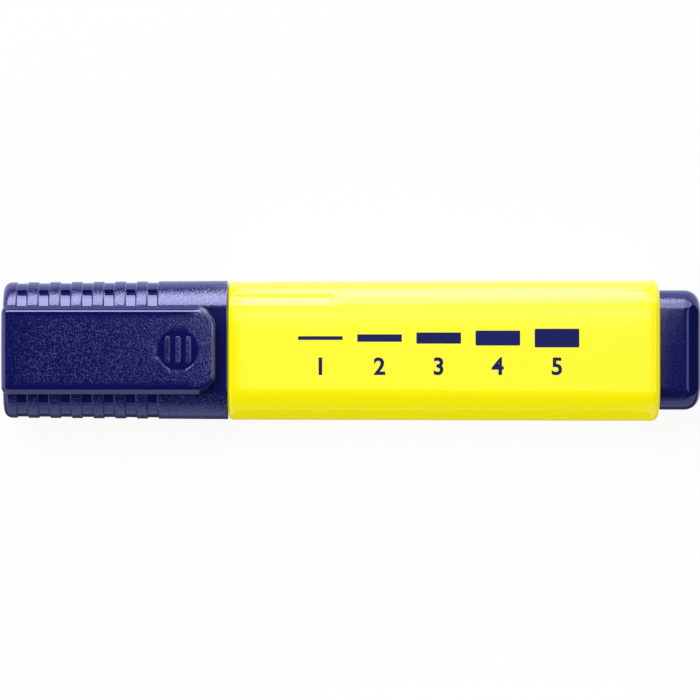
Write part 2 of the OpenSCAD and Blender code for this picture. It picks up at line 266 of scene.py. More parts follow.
def open_tree(name, inputs):
    """A new geometry tree. inputs are name: kind. Gives the tree, its input values and its identifiers."""
    group = bpy.data.node_groups.new(name, "GeometryNodeTree")
    group.interface.new_socket(name="Geometry", in_out="INPUT", socket_type="NodeSocketGeometry")
    group.interface.new_socket(name="Geometry", in_out="OUTPUT", socket_type="NodeSocketGeometry")
    identifiers = {}
    for key, kind in inputs.items():
        socket = group.interface.new_socket(name=key, in_out="INPUT", socket_type=KINDS[kind])
        identifiers[key] = socket.identifier
    tree = Tree(group)
    source = tree.node("NodeGroupInput")
    values = {socket.name: Value(tree, socket) for socket in source.outputs if socket.name}
    return group, tree, values, identifiers


def close_tree(tree, geometry, material):
    """Ends a tree in Realize Instances and Set Material."""
    solid = tree.add("GeometryNodeRealizeInstances", inputs={"Geometry": geometry})
    painted = tree.add("GeometryNodeSetMaterial", inputs={"Geometry": solid, "Material": material})
    tree.node("NodeGroupOutput", inputs=[painted])


def run_tree(piece, group, identifiers, **settings):
    """Runs a tree on a piece with these inputs and leaves a plain mesh on it."""
    modifier = piece.modifiers.new(group.name, "NODES")
    modifier.node_group = group
    for key, given in settings.items():
        modifier[identifiers[key]] = given
    result = finished_mesh(piece)
    piece.modifiers.remove(modifier)
    result.name = piece.name
    piece.data = result
    print(f"{piece.name}: {len(result.vertices)} points after {group.name}")
    return piece


# %% Read and place points in a tree
def stored(tree, name):
    """A named attribute of the mesh as a value."""
    return tree.add("GeometryNodeInputNamedAttribute", {"data_type": "FLOAT"}, {"Name": name})


def split(tree, vector):
    """The three parts of a vector."""
    made = tree.node("ShaderNodeSeparateXYZ", inputs=[vector])
    return [Value(tree, socket) for socket in made.outputs]


def place(tree, geometry, x, y, z):
    """Sets every point's position."""
    position = tree.add("ShaderNodeCombineXYZ", inputs=[x, y, z])
    return tree.add("GeometryNodeSetPosition", inputs={"Geometry": geometry, "Position": position})


# %% [markdown]
# The first tree rolls the sheet into the form. A point's place across the pen comes from its lean and turn,
# and its height is the smooth minimum of the arc and the flat, so that `crease` is the softness of the fold.
# Last it merges the points that fall together at the closed ends.

# %% Tree 1: roll the sheet into the pen's form
def form_tree():
    group, tree, given, identifiers = open_tree("pen_form", {
        "arc_centre": "size", "crease": "size", "mid_height": "size", "material": "material"})
    half_w, half_t, spread = (stored(tree, key) for key in ("half_w", "half_t", "spread"))
    lean, turn = stored(tree, "lean"), stored(tree, "turn")
    x = split(tree, tree.add("GeometryNodeInputPosition"))[0]
    radius = half_w - given["arc_centre"]
    y = lean * given["arc_centre"] + radius * turn.math("SINE")
    rise = radius * turn.math("COSINE")
    height = abs(rise).math("SMOOTH_MIN", half_t, given["crease"]) * rise.math("SIGN")
    formed = place(tree, given["Geometry"], x, y * spread, height * spread + given["mid_height"])
    merged = tree.add("GeometryNodeMergeByDistance", inputs={"Geometry": formed, "Distance": SAME_PLACE})
    close_tree(tree, merged, given["material"])
    return group, identifiers


FORM = form_tree()

# %% [markdown]
# ## Grip grooves
# Seven shallow slots cross both shoulders of the cap. Each has a floor on an arc with the same centre as the
# shoulder, so it is deepest at the crease and its ends run out on the flats. They repeat, so a second tree
# cuts them all: the distance to the nearest groove gives a mask, and points outside the floor's radius are
# drawn in to it. The mask is stored, because the floors are polished and the ribs between them are not.

# %% Tree 2: cut the grooves
def groove_tree():
    group, tree, given, identifiers = open_tree("grip_grooves", {
        "count": "count", "first": "size", "pitch": "size", "width": "size", "depth": "size", "wall": "size",
        "arc_centre": "size", "mid_height": "size", "material": "material"})
    x, y, z = split(tree, tree.add("GeometryNodeInputPosition"))
    along = (x - given["first"]) / given["pitch"]
    nearest = along.math("ROUND").clamp(0.0, given["count"] - 1.0)
    distance = abs(x - given["first"] - nearest * given["pitch"])
    mask = ((given["width"] / 2.0 + given["wall"] - distance) / given["wall"]).smooth()
    across, up = abs(y) - given["arc_centre"], z - given["mid_height"]
    reach = (across * across + up * up).math("SQRT")
    floor = stored(tree, "half_w") - given["arc_centre"] - given["depth"] * mask
    drawn = reach.least(floor)
    beside = across.math("GREATER_THAN", 0.0)
    share = 1.0 + (drawn / reach.most(1e-6) - 1.0) * beside
    polish = mask * beside * (reach - floor).math("GREATER_THAN", 0.01 * MM)
    kept = tree.add("GeometryNodeStoreNamedAttribute", {"data_type": "FLOAT", "domain": "POINT"},
                    {"Geometry": given["Geometry"], "Name": "polish", "Value": polish})
    cut = place(tree, kept, x, y.math("SIGN") * (abs(y) - across * (1.0 - share) * beside),
                given["mid_height"] + up * share)
    close_tree(tree, cut, given["material"])
    return group, identifiers


GROOVES = groove_tree()

# %% [markdown]
# ## Finishes
# The navy parts come from a spark-eroded mould: tiny pits scatter the light, so the surface glitters where
# it faces a lamp and looks dull elsewhere. The casing is a polished fluorescent moulding. The nib is felt.
# All patterns read Object coordinates in metres, so their grain has its real size on every piece.

# %% Helpers for finishes
def new_material(name):
    """A material with an empty tree. Gives the material and the tree."""
    material = bpy.data.materials.new(name)
    material.use_nodes = True
    material.node_tree.nodes.clear()
    return material, Tree(material.node_tree)


def object_point(tree):
    return tree.add("ShaderNodeTexCoord", output="Object")


def noise(tree, size, detail=2.0, point=None):
    """Noise with features of about this size, in metres."""
    inputs = {"Vector": point or object_point(tree), "Scale": 1 / size, "Detail": detail}
    return tree.add("ShaderNodeTexNoise", {"noise_dimensions": "3D"}, inputs, "Fac")


def mix_colour(tree, share, first, second):
    made = tree.node("ShaderNodeMix", {"data_type": "RGBA"}, {0: share, 6: first, 7: second})
    return Value(tree, made.outputs[2])


def stretched_point(tree, along):
    """Object coordinates with X squeezed, so that a pattern is drawn out along the pen."""
    return tree.add("ShaderNodeMapping", inputs={"Vector": object_point(tree), "Scale": (along, 1, 1)})


def bump(tree, height, depth):
    return tree.add("ShaderNodeBump", inputs={"Height": height, "Distance": depth, "Strength": 1.0})


def surface(material, tree, **inputs):
    """Ends a material in a Principled shader. Input names are written with _ for a space."""
    named = {key.replace("_", " "): given for key, given in inputs.items()}
    shader = tree.add("ShaderNodeBsdfPrincipled", inputs=named)
    tree.node("ShaderNodeOutputMaterial", inputs=[shader])
    print(f"{material.name}: {len(tree.nodes)} nodes")
    return material


# %% [markdown]
# The navy finish has two parts. Where the mould was eroded, two noises of a quarter of a millimetre raise a
# fine grain, whose peaks are a little paler. Where it was polished, the stored `polish` attribute switches
# the grain off, so that one material serves both. A plain reflection off dark plastic would look grey, so it
# is tinted blue.

# %% Navy moulding, eroded and polished
NAVY = (0.0020, 0.0042, 0.090, 1)
NAVY_PALE = (0.048, 0.047, 0.225, 1)
REFLECTED_BLUE = (0.66, 0.65, 1.0, 1)
grain_size, pit_size = 0.31 * MM, 0.24 * MM
grain_depth = 0.07 * MM
pale_above, pale_steepness = 0.49, 6.0    # how high a peak has to be before it looks paler


def navy_plastic():
    material, tree = new_material("navy_plastic")
    polish = tree.add("ShaderNodeAttribute", {"attribute_name": "polish"}, output="Fac")
    grain = noise(tree, grain_size, 1.0)
    pits = noise(tree, pit_size, 1.0)
    rough = 1.0 - polish
    height = (grain * 0.5 + pits * 0.5) * rough
    tint = ((grain - pale_above) * pale_steepness).clamp() * rough
    colour = mix_colour(tree, tint, NAVY, NAVY_PALE)
    roughness = 0.08 + rough * (0.05 + pits * 0.1)
    return surface(material, tree, Base_Color=colour, Roughness=roughness, IOR=1.6, Specular_IOR_Level=0.85,
                   Specular_Tint=REFLECTED_BLUE, Normal=bump(tree, height, grain_depth))


navy = navy_plastic()

# %% [markdown]
# The casing is polished and fluorescent: its dye takes in blue light and gives it back as yellow, so it is
# brighter than any surface that only reflects. A shader has no such dye, so a mild emission of its own
# stands in for it. This emission is a painted glow, the same under any lamp, and it also lifts the casing's
# shaded shoulder. Slow noise gives the colour the slight cloudiness of a moulding.

# %% Polished fluorescent casing, with a painted glow
YELLOW = (0.70, 0.64, 0.003, 1)
YELLOW_DEEP = (0.68, 0.615, 0.002, 1)
# painted glow: an emission that stands in for fluorescence and also brightens the shaded shoulder
PAINTED_GLOW_COLOUR = (1.0, 0.90, 0.0, 1)
PAINTED_GLOW = 0.40
cloud_size, peel_size = 9 * MM, 1.4 * MM
peel_depth = 0.003 * MM


def yellow_plastic():
    material, tree = new_material("yellow_plastic")
    flow = noise(tree, cloud_size, 2.0)
    peel = noise(tree, peel_size, 1.0)
    colour = mix_colour(tree, ((flow - 0.4) * 2.5).clamp() * 0.35, YELLOW, YELLOW_DEEP)
    return surface(material, tree, Base_Color=colour, Roughness=0.07 + flow * 0.05,
                   Emission_Color=PAINTED_GLOW_COLOUR, Emission_Strength=PAINTED_GLOW, Normal=bump(tree, peel, peel_depth))


yellow = yellow_plastic()

# %% [markdown]
# Felt and film are drawn out along the pen, and so is their noise: its X is squeezed before it is read. The
# same felt, with its own colours and grain, serves the nib and the reservoir. Print is a thin satin layer
# with a faint grain, left by the pad that laid it down.

# %% Felt, film and print
INK, INK_PALE = (0.003, 0.006, 0.09, 1), (0.006, 0.010, 0.12, 1)


def felt(name, dry, wet, fibre_size):
    """Fibres that run along X, with dark gaps between."""
    material, tree = new_material(name)
    fibre = noise(tree, fibre_size, 3.0, stretched_point(tree, 0.12))
    colour = mix_colour(tree, ((fibre - 0.35) * 3.0).clamp(), wet, dry)
    return surface(material, tree, Base_Color=colour, Roughness=0.7 + fibre * 0.25,
                   Specular_IOR_Level=0.25, Normal=bump(tree, fibre, 0.12 * MM))


def film(name, colour, shade):
    """Thin drawn plastic: pale, slightly streaked along X."""
    material, tree = new_material(name)
    streak = noise(tree, 0.6 * MM, 2.0, stretched_point(tree, 0.05))
    streaked = mix_colour(tree, streak, colour, shade)
    return surface(material, tree, Base_Color=streaked, Roughness=0.25 + streak * 0.2)


def print_ink():
    material, tree = new_material("print_ink")
    grain = noise(tree, 0.25 * MM, 2.0)
    return surface(material, tree, Base_Color=mix_colour(tree, grain, INK, INK_PALE),
                   Roughness=0.3 + grain * 0.15, Specular_IOR_Level=0.1,
                   Normal=bump(tree, grain, 0.003 * MM))


nib_felt = felt("nib_felt", (0.93, 0.9, 0.06, 1), (0.72, 0.66, 0.01, 1), 0.12 * MM)
ink_fibre = felt("ink_fibre", (0.9, 0.86, 0.08, 1), (0.6, 0.55, 0.01, 1), 0.2 * MM)
pale_film = film("pale_film", (0.85, 0.85, 0.8, 1), (0.7, 0.7, 0.62, 1))
ink = print_ink()

# %% [markdown]
# ## Edges
# A mould has no perfectly sharp edge. Outer corners are rounded with rows of points along an arc, and only
# folds steeper than the limit here stay sharp, such as a bore's lip.

# %% Rounded edges
def corner(radius, steps):
    """Points (along, in) of a convex quarter round: along the part, and in from its surface."""
    angles = np.radians(np.linspace(0, 90, steps + 1))
    return [(radius * math.sin(a), radius * (1 - math.cos(a))) for a in angles]


def edge_rows(x, side, radius, steps, width, thickness):
    """Rings of a rounded edge that starts at x, on the side towards -X (side -1) or +X (side 1)."""
    rows = [(x + side * along, width - 2 * inset, thickness - 2 * inset, 1)
            for along, inset in corner(radius, steps)]
    return rows[::side]


def corner_inset(radius, from_end):
    """How far a rounded edge lies in from the surface, at a distance from the part's end."""
    reach = max(0.0, radius - from_end)
    return radius - math.sqrt(radius ** 2 - reach ** 2)


# %% [markdown]
# Every finished mesh gets the same last steps: faces outward, smooth shading, sharp folds marked, and a count
# of its open edges, which has to be 0 for a solid piece.

# %% Finish a mesh
SHARP_ANGLE = math.radians(38)


def finish_mesh(piece, material, limit=SHARP_ANGLE):
    """Gives a piece outward faces, smooth shading, sharp folds above the limit, and its material."""
    shape = bmesh.new()
    shape.from_mesh(piece.data)
    bmesh.ops.dissolve_degenerate(shape, dist=1e-8, edges=shape.edges)
    bmesh.ops.recalc_face_normals(shape, faces=shape.faces)
    for face in shape.faces:
        face.smooth = True
    open_edges = 0
    for edge in shape.edges:
        edge.smooth = len(edge.link_faces) == 2 and edge.calc_face_angle(0) < limit
        open_edges += len(edge.link_faces) != 2
    shape.to_mesh(piece.data)
    volume = shape.calc_volume(signed=True) / MM ** 3
    triangles = sum(len(face.verts) - 2 for face in shape.faces)
    shape.free()
    for name in ("half_w", "half_t", "spread", "lean", "turn"):
        if name in piece.data.attributes:
            piece.data.attributes.remove(piece.data.attributes[name])
    set_material(piece, material)
    print(f"{piece.name}: {triangles} triangles, {open_edges} open edges, {volume:.0f} mm3")
    return piece


def set_material(piece, material):
    piece.data.materials.clear()
    piece.data.materials.append(material)


def raise_polish(piece, rule):
    """Raises the stored polish of every point to what a rule of its place in millimetres gives."""
    mesh = piece.data
    layer = mesh.attributes.get("polish") or mesh.attributes.new("polish", "FLOAT", "POINT")
    values = np.zeros(len(mesh.vertices), np.float32)
    layer.data.foreach_get("value", values)
    raised = np.maximum(values, rule(*get_points(mesh)))
    layer.data.foreach_set("value", raised.astype(np.float32))


def piece_from(shape, name):
    """Makes an object of a bmesh."""
    mesh = bpy.data.meshes.new(name)
    shape.to_mesh(mesh)
    shape.free()
    return new_piece(name, mesh)


# %% [markdown]
# ## Cap
# A tapered shell, closed at one end with a small edge radius and open at the other with a thin lip. Stations
# are close together only at the ends and at the grooves' walls. The path goes over the outside, round the
# lip, and back down the bore, so the cap is one closed solid with a real wall.

# %% Cap stations
groove_count = 7
groove_pitch = 4.2
groove_first = x_cap + 3.87   # middle of the first groove
groove_w = 1.78               # floor of a groove, without its walls
groove_wall = 0.3
groove_depth = 0.24
cap_end_r = 1.6               # edge radius of the closed end
cap_end_crown = 0.2           # how much the end face bulges
cap_lip_r = 0.22
cap_lead = 0.3                # bevel that guides the cap onto the neck
floor_r = 0.4                 # edge between the bore and its floor


def cap_size(x):
    """Outer width and thickness of the cap at a station."""
    share = (x - x_cap) / (x_mouth - x_cap)
    return cap_w_end + share * cap_draft, cap_t_end + share * cap_draft


def groove_stations():
    """Stations at the floors and walls of all the grooves."""
    half = groove_w / 2
    steps = [0, half - 0.06] + list(np.linspace(half, half + groove_wall, 7)) + [half + groove_wall + 0.08]
    middles = groove_first + groove_pitch * np.arange(groove_count)
    return sorted(middle + side * step for middle in middles for step in steps for side in (-1, 1))


def cap_stations():
    """Rings (x, width, thickness, spread) over the cap's outside, lip and bore."""
    rows = [(x_cap + cap_end_crown * s ** 2, cap_w_end - 2 * cap_end_r, cap_t_end - 2 * cap_end_r, s)
            for s in (0, 0.25, 0.5, 0.75, 0.97)]
    x_side = x_cap + cap_end_crown + cap_end_r
    rows += edge_rows(x_side, -1, cap_end_r, 12, cap_w_end, cap_t_end)
    inner = [x for x in groove_stations() if x > x_side + 0.05]
    plain = [x_side + 0.1] + inner + [x_mouth - 4, x_mouth - 1, x_mouth - cap_lip_r - 0.1]
    rows += [(x, *cap_size(x), 1) for x in plain]
    rows += edge_rows(x_mouth - cap_lip_r, 1, cap_lip_r, 5, *cap_size(x_mouth))
    rows += [(x_mouth, cap_bore_w + 2 * cap_lead, cap_bore_t + 2 * cap_lead, 1)]
    rows += [(x_mouth - cap_lead, cap_bore_w, cap_bore_t, 1)]
    x_floor = x_cap + cap_end_wall
    rows += [(x_floor + floor_r, cap_bore_w, cap_bore_t, 1)]
    rows += [(x_floor, cap_bore_w - 2 * floor_r, cap_bore_t - 2 * floor_r, s) for s in (1, 0.5, 0)]
    return rows


# %% Make the cap
crease = 0.32        # softness of the fold between flat and shoulder
mid = {"arc_centre": arc_y * MM, "mid_height": z_mid * MM}


def make_cap():
    piece = parameter_sheet("cap_moulding", cap_stations())
    run_tree(piece, *FORM, crease=crease * MM, material=navy, **mid)
    run_tree(piece, *GROOVES, count=groove_count, first=groove_first * MM, pitch=groove_pitch * MM,
             width=groove_w * MM, depth=groove_depth * MM, wall=groove_wall * MM, material=navy, **mid)
    return piece


cap = make_cap()

# %% [markdown]
# The clip's leg lies in a seat in the closed end. A box taken away from the closed shell makes it: the exact
# solver keeps both solids' edges true. The cap's flat, which the clip covers, is made polished after eroding:
# smoother, and without the grain's pale peaks, so its colour is also darker. Beside the clip's tip this darker
# colour is painted shade of the clip.

# %% Seat for the clip
seat_depth = 0.8
seat_air = 0.05
clip_w = 2 * clip_high[1]


def combine(piece, other, operation):
    """Adds a closed piece to another or takes it away, and removes it."""
    modifier = piece.modifiers.new("solid", "BOOLEAN")
    modifier.operation, modifier.solver, modifier.object = operation, "EXACT", other
    result = finished_mesh(piece)
    piece.modifiers.remove(modifier)
    piece.data = result
    bpy.data.objects.remove(other)


def cut_box(piece, low, high):
    """Takes a box away from a closed piece."""
    shape = bmesh.new()
    bmesh.ops.create_cube(shape, size=1)
    low, high = np.array(low) * MM, np.array(high) * MM
    for vert in shape.verts:
        vert.co = [(a + b) / 2 + (b - a) * c for a, b, c in zip(low, high, vert.co)]
    combine(piece, piece_from(shape, "cutter"), "DIFFERENCE")


finish_mesh(cap, navy)
cut_box(cap, (x_cap - 1, -clip_w / 2 - seat_air, clip_low[2] - seat_air),
        (x_cap + seat_depth, clip_w / 2 + seat_air, body_t + 2))
finish_mesh(cap, navy)

# %% Polish the cap's flat, which also paints the clip's shade beside its tip
# the polish also takes out the pale grain: a darker flat, which beside the clip's tip is painted shade
flat_polish_and_shade = 0.95
polish_reach, polish_fade = 2.9, 0.5    # how far past the arcs' centres it goes, and over what it fades
polish_y = arc_y + polish_reach
raise_polish(cap, lambda x, y, z: flat_polish_and_shade * np.clip((polish_y - np.abs(y)) / polish_fade, 0, 1))

# %% [markdown]
# ## Casing
# The barrel and the neck inside the cap are one moulding. Its path starts inside the neck, goes over the
# neck, up the shoulder that the cap stops against, along the body, round the rear edge and back through the
# bore.

# %% Barrel stations
front_r = 0.75     # edge of the shoulder
rear_r_w = 1.65    # rear corner, seen from above
rear_r_t = 1.6     # rear edge on the flats
rear_lead = 0.15   # bevel inside the rear edge
neck_edge = 0.3    # edge of the neck and of the holder in it
neck_root_l, neck_root_rise = 0.3, 0.25    # small fillet where the neck meets the shoulder
ledge_end = -4.3   # where the ledge beside the flat runs out
ledge_ramp = 2.2


def barrel_size(x):
    share = (x - x_shoulder) / (x_rear - x_shoulder)
    return body_w - body_draft * (1 - share), body_t


def barrel_stations():
    """Rings (x, width, thickness, spread) over the neck, the body and the bore, as a closed loop."""
    neck_bore = (neck_w - 2 * neck_wall, neck_t - 2 * neck_wall)
    bore = (body_w - 2 * barrel_wall, body_t - 2 * barrel_wall)
    rows = [(x_neck, *neck_bore, 1)]
    rows += edge_rows(x_neck + neck_edge, -1, neck_edge, 4, neck_w, neck_t)
    rows += [(x, neck_w, neck_t, 1) for x in (x_neck + neck_edge + 0.1, x_shoulder - neck_root_l)]
    rows += [(x_shoulder, neck_w + 2 * neck_root_rise, neck_t + 2 * neck_root_rise, 1)]
    rows += edge_rows(x_shoulder + front_r, -1, front_r, 8, *barrel_size(x_shoulder))
    ledge = list(np.linspace(ledge_end - 0.1, ledge_end + ledge_ramp, 10))
    x_body = x_shoulder + front_r
    plain = [x_body + 0.08, *np.linspace(x_body + 0.35, ledge_end - 0.5, 8), *ledge]
    plain += list(np.linspace(ledge_end + ledge_ramp + 1, x_rear - 2 * rear_r_w, 12))
    rows += [(x, *barrel_size(x), 1) for x in plain]
    for along, inset_w in corner(rear_r_w, 18):
        x = x_rear - rear_r_w + along
        inset_t = corner_inset(rear_r_t, x_rear - x)
        wide, thick = barrel_size(x)
        rows.append((x, wide - 2 * inset_w, thick - 2 * inset_t, 1))
    rows += [(x_rear, bore[0] + 2 * rear_lead, bore[1] + 2 * rear_lead, 1), (x_rear - rear_lead, *bore, 1)]
    x_wide = x_shoulder + bore_step
    return rows + [(x_wide, *bore, 1), (x_wide, *neck_bore, 1), (x_neck, *neck_bore, 1)]


# %% Make the casing
barrel_crease = 0.5  # the casing's fold is softer than the cap's


def make_barrel():
    piece = parameter_sheet("barrel_moulding", barrel_stations())
    return run_tree(piece, *FORM, crease=barrel_crease * MM, material=yellow, **mid)


barrel = make_barrel()

# %% [markdown]
# Beside the flat, a shallow ledge is moulded into one shoulder. It starts behind the cap and runs out in a
# short ramp. The points round a ring are close enough there to carry it, so they are only lowered: a level
# tread, then a slope up to the flat.

# %% The ledge on one shoulder
tread_z = 6.0       # height of the tread above the pen's middle
riser_y = 10.1      # where the tread meets the slope
riser_slope = 0.85
tread_slope = 0.2
skin_y, skin_r = 8, 6.8    # only points beyond this y and this far from the arc's centre are outside


def cut_ledge(piece):
    x, y, z = get_points(piece.data)
    limit = z_mid + tread_z + riser_slope * np.maximum(0, riser_y - y)
    limit = limit - tread_slope * np.maximum(0, y - riser_y)
    share = np.clip((ledge_end + ledge_ramp - x) / ledge_ramp, 0, 1)
    share = share * share * (3 - 2 * share)
    start = np.clip((x - x_shoulder - front_r - 0.1) / 0.3, 0, 1)
    outer = (y > skin_y) & (np.hypot(y - arc_y, z - z_mid) > skin_r)
    drop = np.where(outer, np.maximum(0, z - limit) * share * start, 0)
    lowered = np.stack([x, y, z - drop], axis=1) * MM
    piece.data.vertices.foreach_set("co", lowered.ravel())
    print(f"ledge: {np.count_nonzero(drop)} points lowered by up to {drop.max():.2f} mm")


cut_ledge(barrel)
finish_mesh(barrel, yellow)

# %% [markdown]
# ## End plug
# A hollow stopper of the same form. It narrows to its end in a bevel on the flats and in a larger round at
# its corners. The skirt inside the barrel has sealing lands, which repeat: their stations are worked out in
# a loop, and the same tree rolls them.

# %% Plug stations
plug_gap_w, plug_gap_t = 0.35, 0.15
plug_shoulder = 4.0
plug_corner_r = 3.0
plug_bevel_l, plug_bevel = 2.5, 2.1
plug_end_r = 0.55
ridge = 0.9         # softness of the edge between flat and bevel
skirt_l, skirt_set = 8.0, 0.8
land_n, land_depth, land_edge = 3, 0.3, 0.12
plug_wall = 1.4
skirt_w = 2 * plug_high[1]
skirt_t = plug_high[2] - plug_low[2]
plug_w = body_w - 2 * barrel_wall - 2 * plug_gap_w
plug_t = body_t - 2 * barrel_wall - 2 * plug_gap_t
plug_arc_y = plug_w / 2 - arc_radius(plug_t, plug_shoulder)


def bevel_inset(x):
    """How far the plug's flats drop at a station: level, a rounded ridge, then a straight bevel."""
    past = (x - (x_end - plug_bevel_l)) / ridge
    blend = np.logaddexp(0, past * 4) / 4 * ridge
    return float(blend * plug_bevel / plug_bevel_l) + corner_inset(plug_end_r, x_end - x)


def land_stations():
    """Rings of the skirt: lands at full size with shallow grooves between them."""
    pitch = skirt_l / (2 * land_n - 1)
    rows = []
    for i in range(2 * land_n - 1):
        inset = land_depth if i % 2 else 0
        start = x_skirt + i * pitch
        for x in (start + land_edge * (i > 0), start + pitch - land_edge * (i < 2 * land_n - 2)):
            rows.append((x, skirt_w - 2 * inset, skirt_t - 2 * inset, 1))
    return rows


def plug_stations():
    rows = [(x_skirt, plug_w - 2 * plug_wall, plug_t - 2 * plug_wall, 1)] + land_stations()
    x_collar = x_rear - skirt_set
    rows += [(x_collar, plug_w, plug_t, 1)]
    rows += [(x, plug_w, plug_t, 1) for x in (x_collar + 0.1, x_rear + 1, x_rear + 3)]
    for x in np.concatenate([np.linspace(x_end - plug_bevel_l - 1.4, x_end - plug_end_r, 26),
                             x_end - plug_end_r + plug_end_r * np.sin(np.linspace(0.1, math.pi / 2, 10))]):
        inset_w = corner_inset(plug_corner_r, x_end - x)
        rows.append((x, plug_w - 2 * inset_w, plug_t - 2 * bevel_inset(x), 1))
    last = rows[-1]
    rows += [(x_end, last[1], last[2], s) for s in (0.97, 0.5, 0)]
    x_floor = x_end - plug_bevel_l
    bore = (plug_w - 2 * plug_wall, plug_t - 2 * plug_wall)
    inner = [(x_floor, *bore, s) for s in (0, 0.5, 1)] + [(x_skirt, *bore, 1)]
    return rows, inner


# %% Make the end plug
def join(name, pieces):
    """Joins meshes into one piece, with points at the same place merged."""
    shape = bmesh.new()
    for piece in pieces:
        shape.from_mesh(piece.data)
    bmesh.ops.remove_doubles(shape, verts=shape.verts, dist=SAME_PLACE)
    for piece in pieces:
        bpy.data.objects.remove(piece)
    return piece_from(shape, name)


def make_plug():
    sheets = [parameter_sheet(f"plug_{i}", rows) for i, rows in enumerate(plug_stations())]
    for sheet in sheets:
        run_tree(sheet, *FORM, arc_centre=plug_arc_y * MM, crease=crease * MM, mid_height=z_mid * MM,
                 material=navy)
    return join("end_plug_moulding", sheets)


plug = make_plug()
finish_mesh(plug, navy)

# %% Polish the plug
plug_polish = 0.7                      # its flats are worn nearly smooth
x_worn = x_end - plug_bevel_l - 0.5    # and from here on its bevel is quite smooth
raise_polish(plug, lambda x, y, z: plug_polish + (1 - plug_polish) * np.clip(x - x_worn, 0, 1))

# %% [markdown]
# ## Clip
# The clip is a drafted slab, laid over the cap and bent down its closed end. It could be a beveled box, but
# the draft and the small edge radius must follow a rounded tip. So the slab is made flat first, in rings:
# each ring lies further in from the outline and higher up. A grid of rows and columns fills the middle.
# Then every point is placed between two side-view lines: the outer face and the inner face.

# %% Clip sizes
arm_z = 15.9            # underside of the arm
clip_top = clip_high[2]
leg_z = clip_low[2]
tip_shift = 0.12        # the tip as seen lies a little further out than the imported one
x_tip = clip_high[0] + tip_shift
arm_t = clip_top - arm_z
tip_r, heel_r = 3.9, 0.6
side_lean, tip_lean = math.radians(31), math.radians(4)    # draft of the long sides and of the tip
edge_r, tip_edge_r = 0.8, 0.5
crown = 0.12            # how much the outer face falls towards its long edges
bend_r = 1.9
pad_l, pad_h = 3.0, 0.7
root_l = 3.4
clip_gap = 1.1
recess_x = -33.4        # middle of the polished recess
recess_r = 4.1
recess_depth = 0.14


def cap_flat(x):
    """Height of the cap's upper flat at a station."""
    return z_mid + cap_size(x)[1] / 2


# %% Side view of the clip
def outer_line():
    """Outer face from tip to foot: level, a bend, and the leg."""
    angles = np.radians(np.linspace(90, 180, 31))
    middle = np.array([x_cap + bend_r, clip_top - bend_r])
    bend = middle + bend_r * np.stack([np.cos(angles), np.sin(angles)], axis=1)
    return np.vstack([[x_tip, clip_top], bend, [x_cap, leg_z]])


def inner_line():
    """Inner face from tip to foot: pad, space over the cap, root, and the inside of the leg."""
    x_seat = x_cap + seat_depth - seat_air
    x_root = x_cap + root_l
    return np.array([(x_tip, arm_z), (x_tip - pad_l / 2, arm_z - pad_h), (x_tip - pad_l, arm_z - pad_h),
                     (x_tip - 2 * pad_l, arm_z), (x_root + clip_gap, arm_z),
                     (x_root, cap_flat(x_root) + seat_air), (x_seat, cap_flat(x_seat) + seat_air),
                     (x_seat, leg_z)])


OUTER, INNER = outer_line(), inner_line()
U_OUT = np.concatenate([[0], np.cumsum(np.hypot(*np.diff(OUTER, axis=0).T))])
bend_start, bend_stop, slab_l = U_OUT[1], U_OUT[-2], U_OUT[-1]
U_IN = np.concatenate([x_tip - INNER[:6, 0], [(bend_start + bend_stop) / 2, slab_l]])
print(f"clip slab: {slab_l:.1f} x {clip_w:.1f} mm, {arm_t:.1f} mm thick")


def place_clip(u, v, height):
    """Point in space of a slab point: height 0 is the inner face and 1 the outer face."""
    outer = np.stack([np.interp(u, U_OUT, OUTER[:, k]) for k in (0, 1)], axis=-1)
    inner = np.stack([np.interp(u, U_IN, INNER[:, k]) for k in (0, 1)], axis=-1)
    level = np.asarray(height) * (1 - crown / arm_t * (2 * v / clip_w) ** 2)
    thickness = np.hypot(*np.moveaxis(outer - inner, -1, 0))
    below = np.minimum((1 - level) * arm_t / thickness, 1)
    below = np.where(np.asarray(height) > 0, below, 1)
    at = outer + (inner - outer) * below[..., None]
    return np.stack([at[..., 0], v, at[..., 1]], axis=-1)


# %% [markdown]
# The flat outline has four sides that meet in the middle of its corners: the tip, two long edges and the
# foot. Every ring and the grid share the same rows and columns, so all faces are four-sided. Rows are closer
# together at the bend and round the recess.

# %% Rows, columns and one ring of the clip
def graded(stops, steps):
    """Places from the first stop to the last, with one step size between each two stops."""
    places = [np.linspace(a, b, max(2, round((b - a) / step) + 1))[:-1]
              for a, b, step in zip(stops, stops[1:], steps)]
    return np.concatenate([*places, [stops[-1]]])


u_recess = x_tip - recess_x
dense = recess_r + 0.35                       # half the length with close rows and columns
first_row, last_row = 1.2, slab_l - 0.2
row_steps = [0.35, 0.07, 0.9, 0.13, 0.6]      # before, at and after the recess, in the bend, on the leg
column_steps = [0.06, 0.14 / clip_w, 0.06]    # as a share of half the width
ROWS = graded([first_row, u_recess - dense, u_recess + dense, bend_start, bend_stop, last_row],
              row_steps) / slab_l
COLUMNS = graded([-1, -dense * 2 / clip_w, dense * 2 / clip_w, 1], column_steps)


def heel_at(inset):
    """Corner radius of a ring at the foot, never quite 0."""
    return max(heel_r - inset, 0.02)


def long_edge(inset, tip_inset):
    """One long edge at the rows: half the tip's corner, the straight, and half the foot's corner."""
    half = clip_w / 2 - inset
    tip_u, tip_v, heel = tip_r - tip_inset, tip_r - inset, heel_at(inset)
    last = slab_l - inset
    reach = math.sqrt(0.5)
    u0, u1 = tip_inset + tip_u * (1 - reach), last - heel * (1 - reach)
    share = (ROWS - ROWS[0]) / (ROWS[-1] - ROWS[0])
    u = u0 + (u1 - u0) * share
    at_tip = np.clip((tip_inset + tip_u - u) / tip_u, 0, 1)
    at_heel = np.clip((u - last + heel) / heel, 0, 1)
    v = half - tip_v * (1 - np.sqrt(1 - at_tip ** 2)) - heel * (1 - np.sqrt(1 - at_heel ** 2))
    return np.stack([u, v], axis=1)


